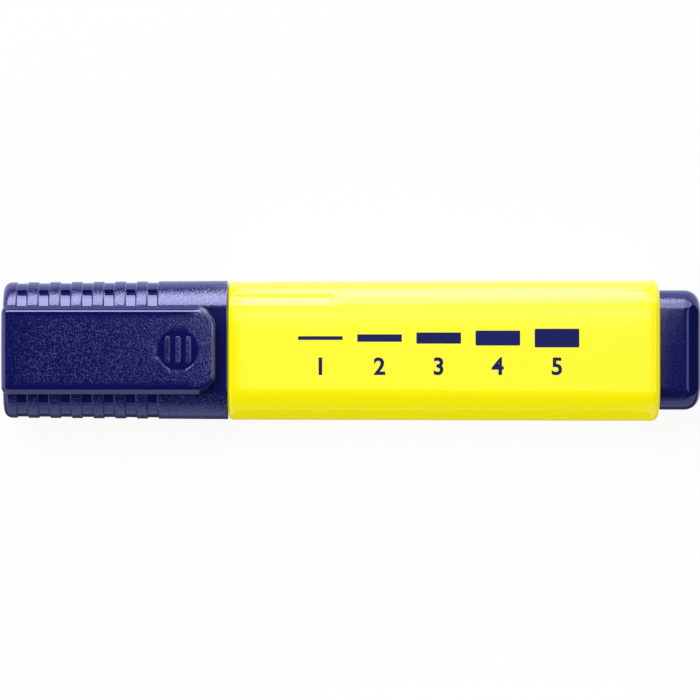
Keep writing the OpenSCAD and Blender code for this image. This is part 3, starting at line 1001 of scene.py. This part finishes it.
def end_edge(half, radius_u, radius_v, start, sign):
    """The tip or the foot at the columns, from +v to -v."""
    reach = half - radius_v * (1 - math.sqrt(0.5))
    v = -COLUMNS * reach
    beyond = np.clip((np.abs(v) - half + radius_v) / radius_v, 0, 1)
    u = start + sign * radius_u * (1 - np.sqrt(1 - beyond ** 2))
    return np.stack([u, v], axis=1)


def ring_edges(inset, tip_inset):
    """The four edges of one ring, as grids of points (u, v)."""
    half, heel = clip_w / 2 - inset, heel_at(inset)
    return (long_edge(inset, tip_inset), end_edge(half, tip_r - tip_inset, tip_r - inset, tip_inset, 1),
            end_edge(half, heel, heel, slab_l - inset, -1))


def patch(inset, tip_inset):
    """A grid of points, blended between the four edges of a ring."""
    side, tip, foot = ring_edges(inset, tip_inset)
    a = ((side[:, 0] - side[0, 0]) / (side[-1, 0] - side[0, 0]))[:, None, None]
    b = ((tip[:, 1] - tip[0, 1]) / (tip[-1, 1] - tip[0, 1]))[None, :, None]
    other = side * [1, -1]
    grid = (1 - b) * side[:, None] + b * other[:, None] + (1 - a) * tip[None] + a * foot[None]
    corners = (1 - a) * ((1 - b) * tip[0] + b * tip[-1]) + a * ((1 - b) * foot[0] + b * foot[-1])
    return grid - corners


# %% [markdown]
# The profile of the slab's edge is a drafted side that runs into a quarter round. It differs between the long
# sides and the tip, so each ring has two insets at one height. Rows close to the start of each part keep the
# shading of one part off the next.

# %% Profile of the clip's edge
edge_land = 0.1    # a narrow level band inside the rounded edge
side_shares = np.array([0, 0.001, 0.04, 0.35, 0.7, 0.96])    # rings up the drafted side


def edge_line(lean, radius, heights):
    """How far the side lies in from the outline at these heights: a drafted side, then a round edge."""
    start = arm_t - radius + radius * math.sin(lean)
    middle = start * math.tan(lean) + radius * math.cos(lean)
    over = np.clip((heights - arm_t + radius) / radius, math.sin(lean), 1)
    return np.where(heights < start, heights * math.tan(lean), middle - radius * np.sqrt(1 - over ** 2))


def edge_profile():
    """Rings (inset at the sides, inset at the tip, height) up the side and round the edge."""
    start = arm_t - edge_r + edge_r * math.sin(side_lean)
    round_part = arm_t - edge_r + edge_r * np.sin(np.linspace(side_lean, math.pi / 2, 11))
    heights = np.concatenate([start * side_shares, round_part])
    rings = np.stack([edge_line(side_lean, edge_r, heights), edge_line(tip_lean, tip_edge_r, heights),
                      heights / arm_t], axis=1)
    return np.vstack([rings, rings[-1] + [edge_land, edge_land, 0]])


# %% [markdown]
# Near its tip the clip has a plain round recess with three raised bars, which a thumb can feel. It is cut by
# lowering points, and its floor is polished like the grooves. The clip's long edges and its bend are polished
# too, as the `polish` of each point says.

# %% Recess and polish
bar_n, bar_pitch, bar_w, bar_l = 3, 2.0, 0.7, 5.0
recess_wall = 0.12
polish_w = 1.0     # polished band inside the long edges
bend_polish = 5.0  # the texture fades towards the bend over this length
bend_share = 0.7   # and is this much polished there


def recess(u, v):
    """How deep the surface lies at a slab point, as a share of the recess's depth."""
    x, y = u - u_recess, v
    inside = np.clip((recess_r - np.hypot(x, y)) / recess_wall, 0, 1)
    lines = (bar_n - 1) / 2
    nearest = np.clip(np.round(x / bar_pitch), -lines, lines) * bar_pitch
    beyond = np.maximum(np.abs(y) - (bar_l - bar_w) / 2, 0)
    bar = np.clip((bar_w / 2 + recess_wall - np.hypot(x - nearest, beyond)) / recess_wall, 0, 1)
    return inside * (1 - bar)


def edge_polish(u, v):
    """1 at the clip's long edges and towards its bend, where the mould was polished after texturing."""
    from_side = clip_w / 2 - edge_profile()[-1][0] - np.abs(v)
    beside = np.clip(polish_w - from_side, 0, 1) * np.clip((u - tip_r) / 2, 0, 1)
    at_bend = bend_share * np.clip((u - bend_start + bend_polish) / bend_polish, 0, 1)
    return np.maximum(beside, at_bend)


# %% [markdown]
# Last the clip is put together: a grid for its inner face, a loop of points for each ring of its profile, a
# grid for its outer face, and four-sided faces between them. A Bevel modifier would round all its edges
# alike, but here the sides lean more than the tip and the grid follows the recess.

# %% Points of the clip
def add_grid(shape, grid, height, sunk, polished):
    """Adds a grid of points, lowered by the recess, with their polish."""
    layer = shape.verts.layers.float["polish"]
    points = place_clip(grid[..., 0], grid[..., 1], np.full(grid.shape[:2], height))
    points[..., 2] -= recess_depth * sunk
    made = [[shape.verts.new(p * MM) for p in row] for row in points]
    for row, values in zip(made, polished):
        for vert, given in zip(row, values):
            vert[layer] = given
    return made


def border(grid):
    """The points round a grid, in order."""
    back = [row[0] for row in grid[:0:-1]]
    return grid[0][:-1] + [row[-1] for row in grid[:-1]] + grid[-1][:0:-1] + back


def add_ring(shape, inset, tip_inset, height):
    """Adds one ring of the edge's profile, polished, in the order of a grid's border."""
    layer = shape.verts.layers.float["polish"]
    side, tip, foot = ring_edges(inset, tip_inset)
    loop = np.vstack([tip[:-1], (side * [1, -1])[:-1], foot[::-1][:-1], side[::-1][:-1]])
    points = place_clip(loop[:, 0], loop[:, 1], np.full(len(loop), height))
    made = [shape.verts.new(p * MM) for p in points]
    for vert in made:
        vert[layer] = 1.0
    return made


# %% Make the clip
def make_clip():
    shape = bmesh.new()
    shape.verts.layers.float.new("polish")
    profile = edge_profile()
    flat, flat_top = patch(0.0, 0.0), patch(*profile[-1][:2])
    none = np.zeros(flat.shape[:2])
    sunk = recess(flat_top[..., 0], flat_top[..., 1])
    rim = edge_polish(flat_top[..., 0], flat_top[..., 1])
    under = add_grid(shape, flat, 0.0, none, none)
    top = add_grid(shape, flat_top, 1.0, sunk, np.maximum(sunk, rim))
    loops = [border(under)] + [add_ring(shape, *ring) for ring in profile[1:-1]] + [border(top)]
    for low, high in zip(loops, loops[1:]):
        for a, b, c, d in zip(low, low[1:] + low[:1], high[1:] + high[:1], high):
            shape.faces.new((a, b, c, d))
    for grid, step in ((under, -1), (top, 1)):
        for first, second in zip(grid, grid[1:]):
            for a, b, c, d in zip(first, first[1:], second[1:], second):
                shape.faces.new((a, b, c, d)[::step])
    return piece_from(shape, "clip_moulding")


clip = make_clip()
finish_mesh(clip, navy)

# %% [markdown]
# ## Nib holder
# The holder is an insert in the front of the neck: a flange and a hollow spigot of the pen's own form, a
# round boss that the inner cap seals on, and a nose. It could be turned with Spin, but a circle is the same
# rule with its arcs' centres in the middle, so the first tree rolls both forms. A union joins the two, and a
# box taken away makes the nib's slot.

# %% Holder stations
x_flange, x_neck_front, x_spigot = -41.1, -39.6, -36.1
x_nose, x_boss = -54.1, -51.1
nose_r, boss_r = 3.70, 4.55
spigot_w, spigot_t = neck_w - 2 * neck_wall - 0.04, neck_t - 2 * neck_wall - 0.04
nib_w, nib_t = nib_high[1] - nib_low[1], nib_high[2] - nib_low[2]
nose_edge = 0.4
spigot_wall = 1.0
boss_root = 0.6     # how far the boss reaches into the flange
boss_fillet = ((-0.3, 0.085), (-0.1, 0.03), (0.15, 0))    # (along, in) where the nose meets the boss
ring_set = (1.6, 2.8)                                     # the two turned rings, from the boss's front
ring_line = ((-0.3, 0), (-0.24, 0.04), (-0.15, 0.14), (0.15, 0.14), (0.24, 0.04), (0.3, 0))


def holder_flange():
    rows = [(x_flange, neck_w - 2 * neck_edge, neck_t - 2 * neck_edge, s) for s in (0, 0.6, 0.97)]
    rows += edge_rows(x_flange + neck_edge, -1, neck_edge, 4, neck_w, neck_t)
    rows += [(x_neck_front, neck_w, neck_t, 1), (x_neck_front, spigot_w, spigot_t, 1)]
    rows += edge_rows(x_spigot - neck_edge, 1, neck_edge, 4, spigot_w, spigot_t)
    bore = (spigot_w - 2 * spigot_wall, spigot_t - 2 * spigot_wall)
    return rows + [(x_spigot, *bore, 1)] + [(x_neck_front, *bore, s) for s in (1, 0.6, 0)]


def holder_boss():
    """The boss with two shallow rings turned into it, and the nose."""
    line = [(x_nose, nose_r - nose_edge, s) for s in (0, 0.6, 0.97)]
    line += [(x_nose + nose_edge - along, nose_r - inset, 1) for along, inset in corner(nose_edge, 6)[::-1]]
    line += [(x_boss + step, boss_r - depth, 1) for step, depth in boss_fillet]
    line += [(x_boss + x + step, boss_r - depth, 1) for x in ring_set for step, depth in ring_line]
    line += [(x_flange + boss_root, boss_r, s) for s in (1, 0.5, 0)]
    return [(x, 2 * r, 2 * r + 2, s) for x, r, s in line]


# %% Make the holder
turned_crease = 0.02    # the holder's folds are nearly sharp
slot_air = 0.05         # between the nib and its slot


def make_holder():
    flange = parameter_sheet("nib_holder_moulding", holder_flange())
    run_tree(flange, *FORM, crease=turned_crease * MM, material=navy, **mid)
    boss = parameter_sheet("boss", holder_boss())
    run_tree(boss, *FORM, arc_centre=0.0, crease=turned_crease * MM, mid_height=z_mid * MM, material=navy)
    finish_mesh(flange, navy)
    finish_mesh(boss, navy)
    combine(flange, boss, "UNION")
    slot_w, slot_t = nib_w / 2 + slot_air, nib_t / 2 + slot_air
    cut_box(flange, (x_nose - 1, -slot_w, z_mid - slot_t), (x_neck_front + 1, slot_w, z_mid + slot_t))
    return finish_mesh(flange, navy)


holder = make_holder()

# %% [markdown]
# ## Nib
# The nib is a block of felt ground to a slanted edge, whose corners are soft. It could be sculpted, but a
# hull of its twelve corner points with bevelled edges gives it more simply, and each size stays a number.

# %% Make the nib
nib_slant = 2.6      # how much further one side of the edge reaches
nib_wedge = 4.5      # length of the two slopes
nib_edge = 1.2       # thickness of the writing edge
nib_soft = 0.28      # softness of its edges
felt_sharp = math.radians(60)


def make_nib():
    shape = bmesh.new()
    x_nib, x_tail = nib_low[0], nib_high[0]
    half = nib_w / 2
    at_slant = nib_edge + (nib_t - nib_edge) * nib_slant / nib_wedge
    corners = []
    for x, y, thickness in ((x_nib, -half, nib_edge), (x_nib + nib_slant, half, at_slant),
                            (x_nib + nib_wedge, -half, nib_t), (x_nib + nib_wedge, half, nib_t),
                            (x_tail, -half, nib_t), (x_tail, half, nib_t)):
        corners += [(x, y, z_mid + side * thickness / 2) for side in (-1, 1)]
    for point in corners:
        shape.verts.new([c * MM for c in point])
    bmesh.ops.convex_hull(shape, input=shape.verts)
    bmesh.ops.dissolve_limit(shape, angle_limit=0.02, verts=shape.verts, edges=shape.edges)
    bmesh.ops.bevel(shape, geom=shape.edges[:], offset=nib_soft * MM, segments=5, profile=0.5, affect="EDGES")
    return finish_mesh(piece_from(shape, "nib_block"), nib_felt, felt_sharp)


nib = make_nib()

# %% [markdown]
# ## Print
# The casing carries a plain printed chart: five strokes, each wider than the last, as a chisel nib draws
# them, with their numbers. Ink from a pad lies on the surface about as thick as paint. An image would blur
# close up, so the ink is a thin solid. The strokes repeat, so the third tree makes one and sets it on a line
# of points, wider at each point.

# %% Tree 3: strokes of growing width
def stroke_tree():
    group, tree, given, identifiers = open_tree("stroke_chart", {
        "count": "count", "pitch": "size", "length": "size", "step": "size", "corner": "size",
        "thickness": "size", "material": "material"})
    outline = tree.add("GeometryNodeCurvePrimitiveQuadrilateral",
                       inputs={"Width": given["length"], "Height": given["step"]})
    rounded = tree.add("GeometryNodeFilletCurve", {"mode": "POLY"},
                       {"Curve": outline, "Count": 8, "Radius": given["corner"], "Limit Radius": True})
    face = tree.add("GeometryNodeFillCurve", {"mode": "NGONS"}, {"Curve": rounded})
    lift = tree.add("ShaderNodeCombineXYZ", inputs=[0.0, 0.0, given["thickness"]])
    raised = tree.add("GeometryNodeExtrudeMesh", {"mode": "FACES"},
                      {"Mesh": face, "Offset": lift, "Offset Scale": 1.0, "Individual": False})
    under = tree.add("GeometryNodeFlipFaces", inputs={"Mesh": face})
    both = tree.node("GeometryNodeJoinGeometry")
    for part in (raised, under):
        tree.links.new(part.socket, both.inputs[0])
    stroke = tree.add("GeometryNodeMergeByDistance",
                      inputs={"Geometry": Value(tree, both.outputs[0]), "Distance": SAME_PLACE})
    apart = tree.add("ShaderNodeCombineXYZ", inputs=[given["pitch"], 0.0, 0.0])
    line = tree.add("GeometryNodeMeshLine", inputs={"Count": given["count"], "Offset": apart})
    rank = tree.add("GeometryNodeInputIndex") + 1.0
    growth = tree.add("ShaderNodeCombineXYZ", inputs=[1.0, rank, 1.0])
    placed = tree.add("GeometryNodeInstanceOnPoints",
                      inputs={"Points": line, "Instance": stroke, "Scale": growth})
    close_tree(tree, placed, given["material"])
    return group, identifiers


# %% [markdown]
# Numbers are text. Text becomes a mesh before it is moved, because a finished piece keeps its place in its
# mesh. The letters are widened a little by their offset, as ink spreads under a pad.

# %% Numbers
stroke_n, stroke_pitch, stroke_l, stroke_step = 5, 11.4, 8.6, 0.72
stroke_corner = 0.1
print_x, stroke_y, number_y = -6.0, 2.3, -4.7
number_h, number_spread = 4.6, 0.12
ink_t, ink_sink = 0.02, 0.008    # thickness of the ink, and how far it sinks into the casing


def moved(piece, x, y, z):
    """Moves the mesh itself, so that the object stays at the origin."""
    piece.data.transform(Matrix.Translation((x * MM, y * MM, z * MM)))
    return piece


def make_number(text, x):
    font = bpy.data.curves.new("number", "FONT")
    font.body = text
    font.size = number_h * MM
    font.align_x = "CENTER"
    font.resolution_u = 5
    font.extrude = ink_t / 2 * MM
    font.offset = number_spread * MM
    letters = new_piece("number", font)
    mesh = finished_mesh(letters)
    bpy.data.objects.remove(letters)
    return moved(new_piece(f"number_{text}", mesh), x, number_y, body_t - ink_sink + ink_t / 2)


# %% Make the print
def make_print():
    strokes = new_piece("strokes", bpy.data.meshes.new("strokes"))
    run_tree(strokes, *stroke_tree(), count=stroke_n, pitch=stroke_pitch * MM, length=stroke_l * MM,
             step=stroke_step * MM, corner=stroke_corner * MM, thickness=ink_t * MM, material=ink)
    moved(strokes, print_x, stroke_y, body_t - ink_sink)
    numbers = [make_number(str(i + 1), print_x + i * stroke_pitch) for i in range(stroke_n)]
    return finish_mesh(join("casing_print", [strokes, *numbers]), ink)


casing_print = make_print()

# %% [markdown]
# ## Camera
# The photograph looks straight down at a pen on white, from about a metre. The camera's lens follows from
# its height and from the width that the frame covers at the pen's middle. A closer camera with a shorter lens
# would show more of the pen's sides.

# %% Camera
camera_height = 1150.0          # above the pen's middle
frame_width = 135.76            # what the frame covers at that level
camera_x = -0.29                # the frame's middle, along the pen
sensor = 36.0


def make_camera():
    data = bpy.data.cameras.new("camera")
    data.sensor_width = sensor
    data.lens = sensor * camera_height / frame_width
    data.clip_start, data.clip_end = 0.05, 20
    camera = bpy.data.objects.new("camera", data)
    camera.location = (camera_x * MM, 0, (z_mid + camera_height) * MM)
    scene.collection.objects.link(camera)
    scene.camera = camera
    print(f"lens {data.lens:.0f} mm")


make_camera()
scene.view_settings.view_transform = "Standard"

# %% [markdown]
# ## Light
# The polished parts show what is round the pen, so reflections and light are set apart, as a photographer
# does with cards. Each lamp is either seen in reflections or lights the pen, and none does both. A lamp's
# `radiance` is how bright its face looks, 1 for white, and its power follows from that and its size.

# %% Lamp helpers
pen_middle = (0, 0, 0.008)


def aim(piece, target):
    direction = np.array(target) - np.array(piece.location)
    length = np.linalg.norm(direction)
    pitch = math.acos(-direction[2] / length)
    turn = math.atan2(-direction[1], -direction[0])
    piece.rotation_euler = (0, pitch, turn)


def panel(name, middle, size, radiance, mirrored=True, colour=(1, 1, 1)):
    """A rectangular lamp that faces the pen, mirrored or else lighting. Size is (up, along), in metres."""
    data = bpy.data.lights.new(name, "AREA")
    data.shape = "RECTANGLE"
    data.size, data.size_y = size
    data.energy = radiance * math.pi * size[0] * size[1]
    data.color = colour
    lamp = new_piece(name, data)
    lamp.location = middle
    aim(lamp, pen_middle)
    lamp.visible_glossy = mirrored
    lamp.visible_diffuse = not mirrored
    lamp.visible_camera = False
    return lamp


def polar(distance, off_vertical, azimuth):
    """A place at a distance from the pen, at an angle from straight up and an azimuth from +X."""
    off, turn = math.radians(off_vertical), math.radians(azimuth)
    level = distance * math.sin(off)
    return (level * math.cos(turn), level * math.sin(turn), distance * math.cos(off))


# %% [markdown]
# Long softboxes beside the pen draw the pale bands along its upper shoulder. A strip is given by the angles
# off vertical between which the pen sees it, because those angles fix where on the rounded shoulder its
# reflection lies. Beside the cap, the barrel and the plug the strips have brightnesses of their own. Dim
# strips on the other side and panels past both ends do the same for the other edges.

# %% Strips that only reflections show
BLUISH = (0.64, 0.67, 1.0)       # light that comes back from the blue side of the room
SOFT_BLUE = (0.93, 0.91, 1.0)
room_start, room_stop = -0.8, 0.8
x_split, x_plug_split = -0.039, 0.094    # where the strips change, as mirrored at the seam and at the plug
strip_distance = 0.7


def strip(name, azimuth, lowest, highest, start, stop, radiance, colour=(1, 1, 1), distance=strip_distance):
    """A long lamp between two angles off vertical, from start to stop along the pen, in metres."""
    middle, half = (lowest + highest) / 2, math.radians(lowest - highest) / 2
    size = (2 * distance * math.tan(half), stop - start)
    lamp = panel(name, polar(distance, middle, azimuth), size, radiance, colour=colour)
    lamp.location.x = (start + stop) / 2
    return lamp


strip("softbox_cap_low", 90, 82, 71, room_start, x_split, 6.0, SOFT_BLUE)
strip("softbox_cap_high", 90, 71, 41, room_start, x_split, 7.9, SOFT_BLUE)
strip("softbox_low", 90, 90, 70, x_split, x_plug_split, 9.3)
strip("softbox_middle", 90, 70, 46, x_split, x_plug_split, 5.8)
strip("softbox_high", 90, 46, 34, x_split, x_plug_split, 3.0)
strip("softbox_plug", 90, 84, 44, x_plug_split, room_stop, 2.6, SOFT_BLUE)
strip("side_fill_cap", -90, 95, 74, room_start, x_split, 0.55, BLUISH)
strip("side_fill_barrel", -90, 95, 74, x_split, x_plug_split, 0.05)
strip("side_fill_plug", -90, 95, 74, x_plug_split, room_stop, 0.6, BLUISH)
panel("cap_end_fill", polar(0.8, 80, 180), (0.28, 1.7), 1.7, colour=BLUISH)
panel("plug_end_fill", polar(0.8, 43, 0), (0.45, 0.5), 1.0)

# %% [markdown]
# Two of the reflected lamps hang close over the barrel. Seen from the camera, only the yellow casing mirrors
# them, which gives its flat an even sheen. Further away they would have to be larger, and the eroded grain of
# the cap would pick them up as a haze.

# %% Low lamps over the barrel
sheen_start, sheen_stop = -0.026, 0.0655
ceiling_middle = (0.0191, -0.0017, 0.055)
ceiling_size = (0.0832, 0.0246)
strip("softbox_top", 90, 34, 3, sheen_start, sheen_stop, 2.0, distance=0.12)
ceiling = panel("ceiling", ceiling_middle, ceiling_size, 1.1)
ceiling.rotation_euler = (0, 0, 0)

# %% [markdown]
# Three lamps only light, and give the level at which a colour looks about as it is written: a key from the
# softboxes' side, one above that lays the clip's short shadow, and a small fill for the barrel's shaded
# shoulder. Reflections show none of them, so they can be moved without changing the bands.

# %% Lamps that only light
barrel_middle = (0.018, 0, 0.008)
barrel_fill_place = (0.030, -0.100, 0.030)
panel("key", polar(0.7, 56, 112), (0.5, 1.2), 1.42, mirrored=False)
panel("overhead", polar(1.1, 32, 130), (0.5, 0.5), 6.9, mirrored=False)
barrel_fill = panel("barrel_fill", barrel_fill_place, (0.05, 0.10), 0.75, mirrored=False)
aim(barrel_fill, barrel_middle)

# %% [markdown]
# ## World and table
# The background is white for the camera, by its colour and by Light Path, and never by more light on the pen:
# the world that lights the pen is dim, and the one that it mirrors is nearly dark. The table is a large pale
# sheet, white to the camera and in reflections, which keeps a faint shadow of the pen.

# %% World
world_mirrored, world_light = 0.04, 0.36


def make_world():
    world = bpy.data.worlds.new("studio")
    world.use_nodes = True
    world.node_tree.nodes.clear()
    tree = Tree(world.node_tree)
    rays = tree.node("ShaderNodeLightPath")
    seen = Value(tree, rays.outputs["Is Camera Ray"])
    mirrored = Value(tree, rays.outputs["Is Glossy Ray"])
    strength = seen + (1.0 - seen) * (mirrored * world_mirrored + (1.0 - mirrored) * world_light)
    light = tree.node("ShaderNodeBackground", inputs={"Color": (1, 1, 1, 1), "Strength": strength})
    tree.node("ShaderNodeOutputWorld", inputs=[Value(tree, light.outputs[0])])
    scene.world = world


make_world()

# %% Table
table_reach = 4
table_z, card_z = -0.00002, 0.0002
table_white = 0.93    # how much of the table's white is its own, and not lit


def flat_sheet(name, low, high, height):
    mesh = bpy.data.meshes.new(name)
    mesh.from_pydata([(low[0], low[1], height), (high[0], low[1], height),
                      (high[0], high[1], height), (low[0], high[1], height)], [], [(0, 1, 2, 3)])
    sheet = new_piece(name, mesh)
    return sheet


def make_table():
    material, tree = new_material("table")
    rays = tree.node("ShaderNodeLightPath")
    camera_ray = Value(tree, rays.outputs["Is Camera Ray"])
    glossy_ray = Value(tree, rays.outputs["Is Glossy Ray"])
    seen = (camera_ray + glossy_ray).least(1.0)
    diffuse = tree.node("ShaderNodeBsdfDiffuse", inputs={"Color": (0.9, 0.9, 0.9, 1)})
    glow = tree.node("ShaderNodeEmission", inputs={"Color": (1, 1, 1, 1), "Strength": 1.0})
    mixed = tree.node("ShaderNodeMixShader", inputs={0: seen * table_white})
    tree.links.new(diffuse.outputs[0], mixed.inputs[1])
    tree.links.new(glow.outputs[0], mixed.inputs[2])
    tree.node("ShaderNodeOutputMaterial", inputs=[Value(tree, mixed.outputs[0])])
    table = flat_sheet("table", (-table_reach, -table_reach), (table_reach, table_reach), table_z)
    set_material(table, material)


make_table()

# %% [markdown]
# Steep edges mirror the table beside the pen. Cards on the table, which nothing but reflections sees, set
# what they show: a pale or bright strip gives an edge its light line, and a dark one its dark line.

# %% Cards on the table
def make_card(name, low, high, glow, colour=(1, 1, 1)):
    """A card from a low to a high corner (x, y). Glow is its brightness, 1 for white."""
    material, tree = new_material(name)
    shader = tree.node("ShaderNodeEmission", inputs={"Color": (*colour, 1), "Strength": glow})
    tree.node("ShaderNodeOutputMaterial", inputs=[Value(tree, shader.outputs[0])])
    card = flat_sheet(name, low, high, card_z)
    set_material(card, material)
    card.visible_camera = card.visible_diffuse = card.visible_shadow = False


seam_x, rear_x = x_mouth * MM, x_rear * MM
near_y = 0.0138                     # just beside the pen
shade_y, low_y = -0.024, -0.3       # towards -Y: a narrow shade, then a wide card
cap_y, barrel_y, far_y = 0.044, 0.064, 0.64    # towards +Y: where the second cards start, and all end
far_x = 1.0
make_card("blue_card_cap", (-far_x, near_y), (seam_x, cap_y), 1.3, BLUISH)
make_card("dark_card_cap", (-far_x, cap_y), (seam_x, far_y), 0.01)
make_card("pale_card_barrel", (seam_x, near_y), (rear_x, barrel_y), 2.2)
make_card("bright_card_barrel", (seam_x, barrel_y), (rear_x, far_y), 6.0)
make_card("blue_card_plug", (rear_x, near_y), (far_x, far_y), 1.2, BLUISH)
make_card("shade_card", (-far_x, shade_y), (far_x, -near_y), 0.1)
make_card("blue_card_low", (-far_x, low_y), (seam_x, shade_y), 0.85, BLUISH)
make_card("grey_card_low", (seam_x, low_y), (rear_x, shade_y), 0.04)
make_card("blue_card_low_plug", (rear_x, low_y), (far_x, shade_y), 0.85, BLUISH)

# %% [markdown]
# ## Hidden pieces
# The reservoir, its film, the breather tube and the inner cap are hardly seen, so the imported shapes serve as
# they are. They only get their finishes.

# %% Finish the carried-over pieces
for node, material in (("reservoir_core", ink_fibre), ("reservoir_wrap", pale_film),
                       ("breather_tube", pale_film), ("inner_cap", navy)):
    set_material(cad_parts[node], material)
    print(f"{node}: {material.name}")

# %% [markdown]
# ## Bodies
# The imported model has three bodies: the pen, the cap that slides off it, and the clip that flexes. Each
# finished piece rides on the body of the imported piece that it replaces, and the print rides on the pen.

# %% Ride and replace
for piece, body, node, slot in (
        (barrel, "pen", "barrel", "barrel_plastic"), (plug, "pen", "end_plug", "dark_plastic"),
        (holder, "pen", "nib_holder", "dark_plastic"), (nib, "pen", "nib", "nib_felt"),
        (cap, "cap", "cap_shell", "dark_plastic"), (clip, "clip", "clip", "dark_plastic")):
    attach(piece, body)
    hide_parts(node)
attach(casing_print, "pen")
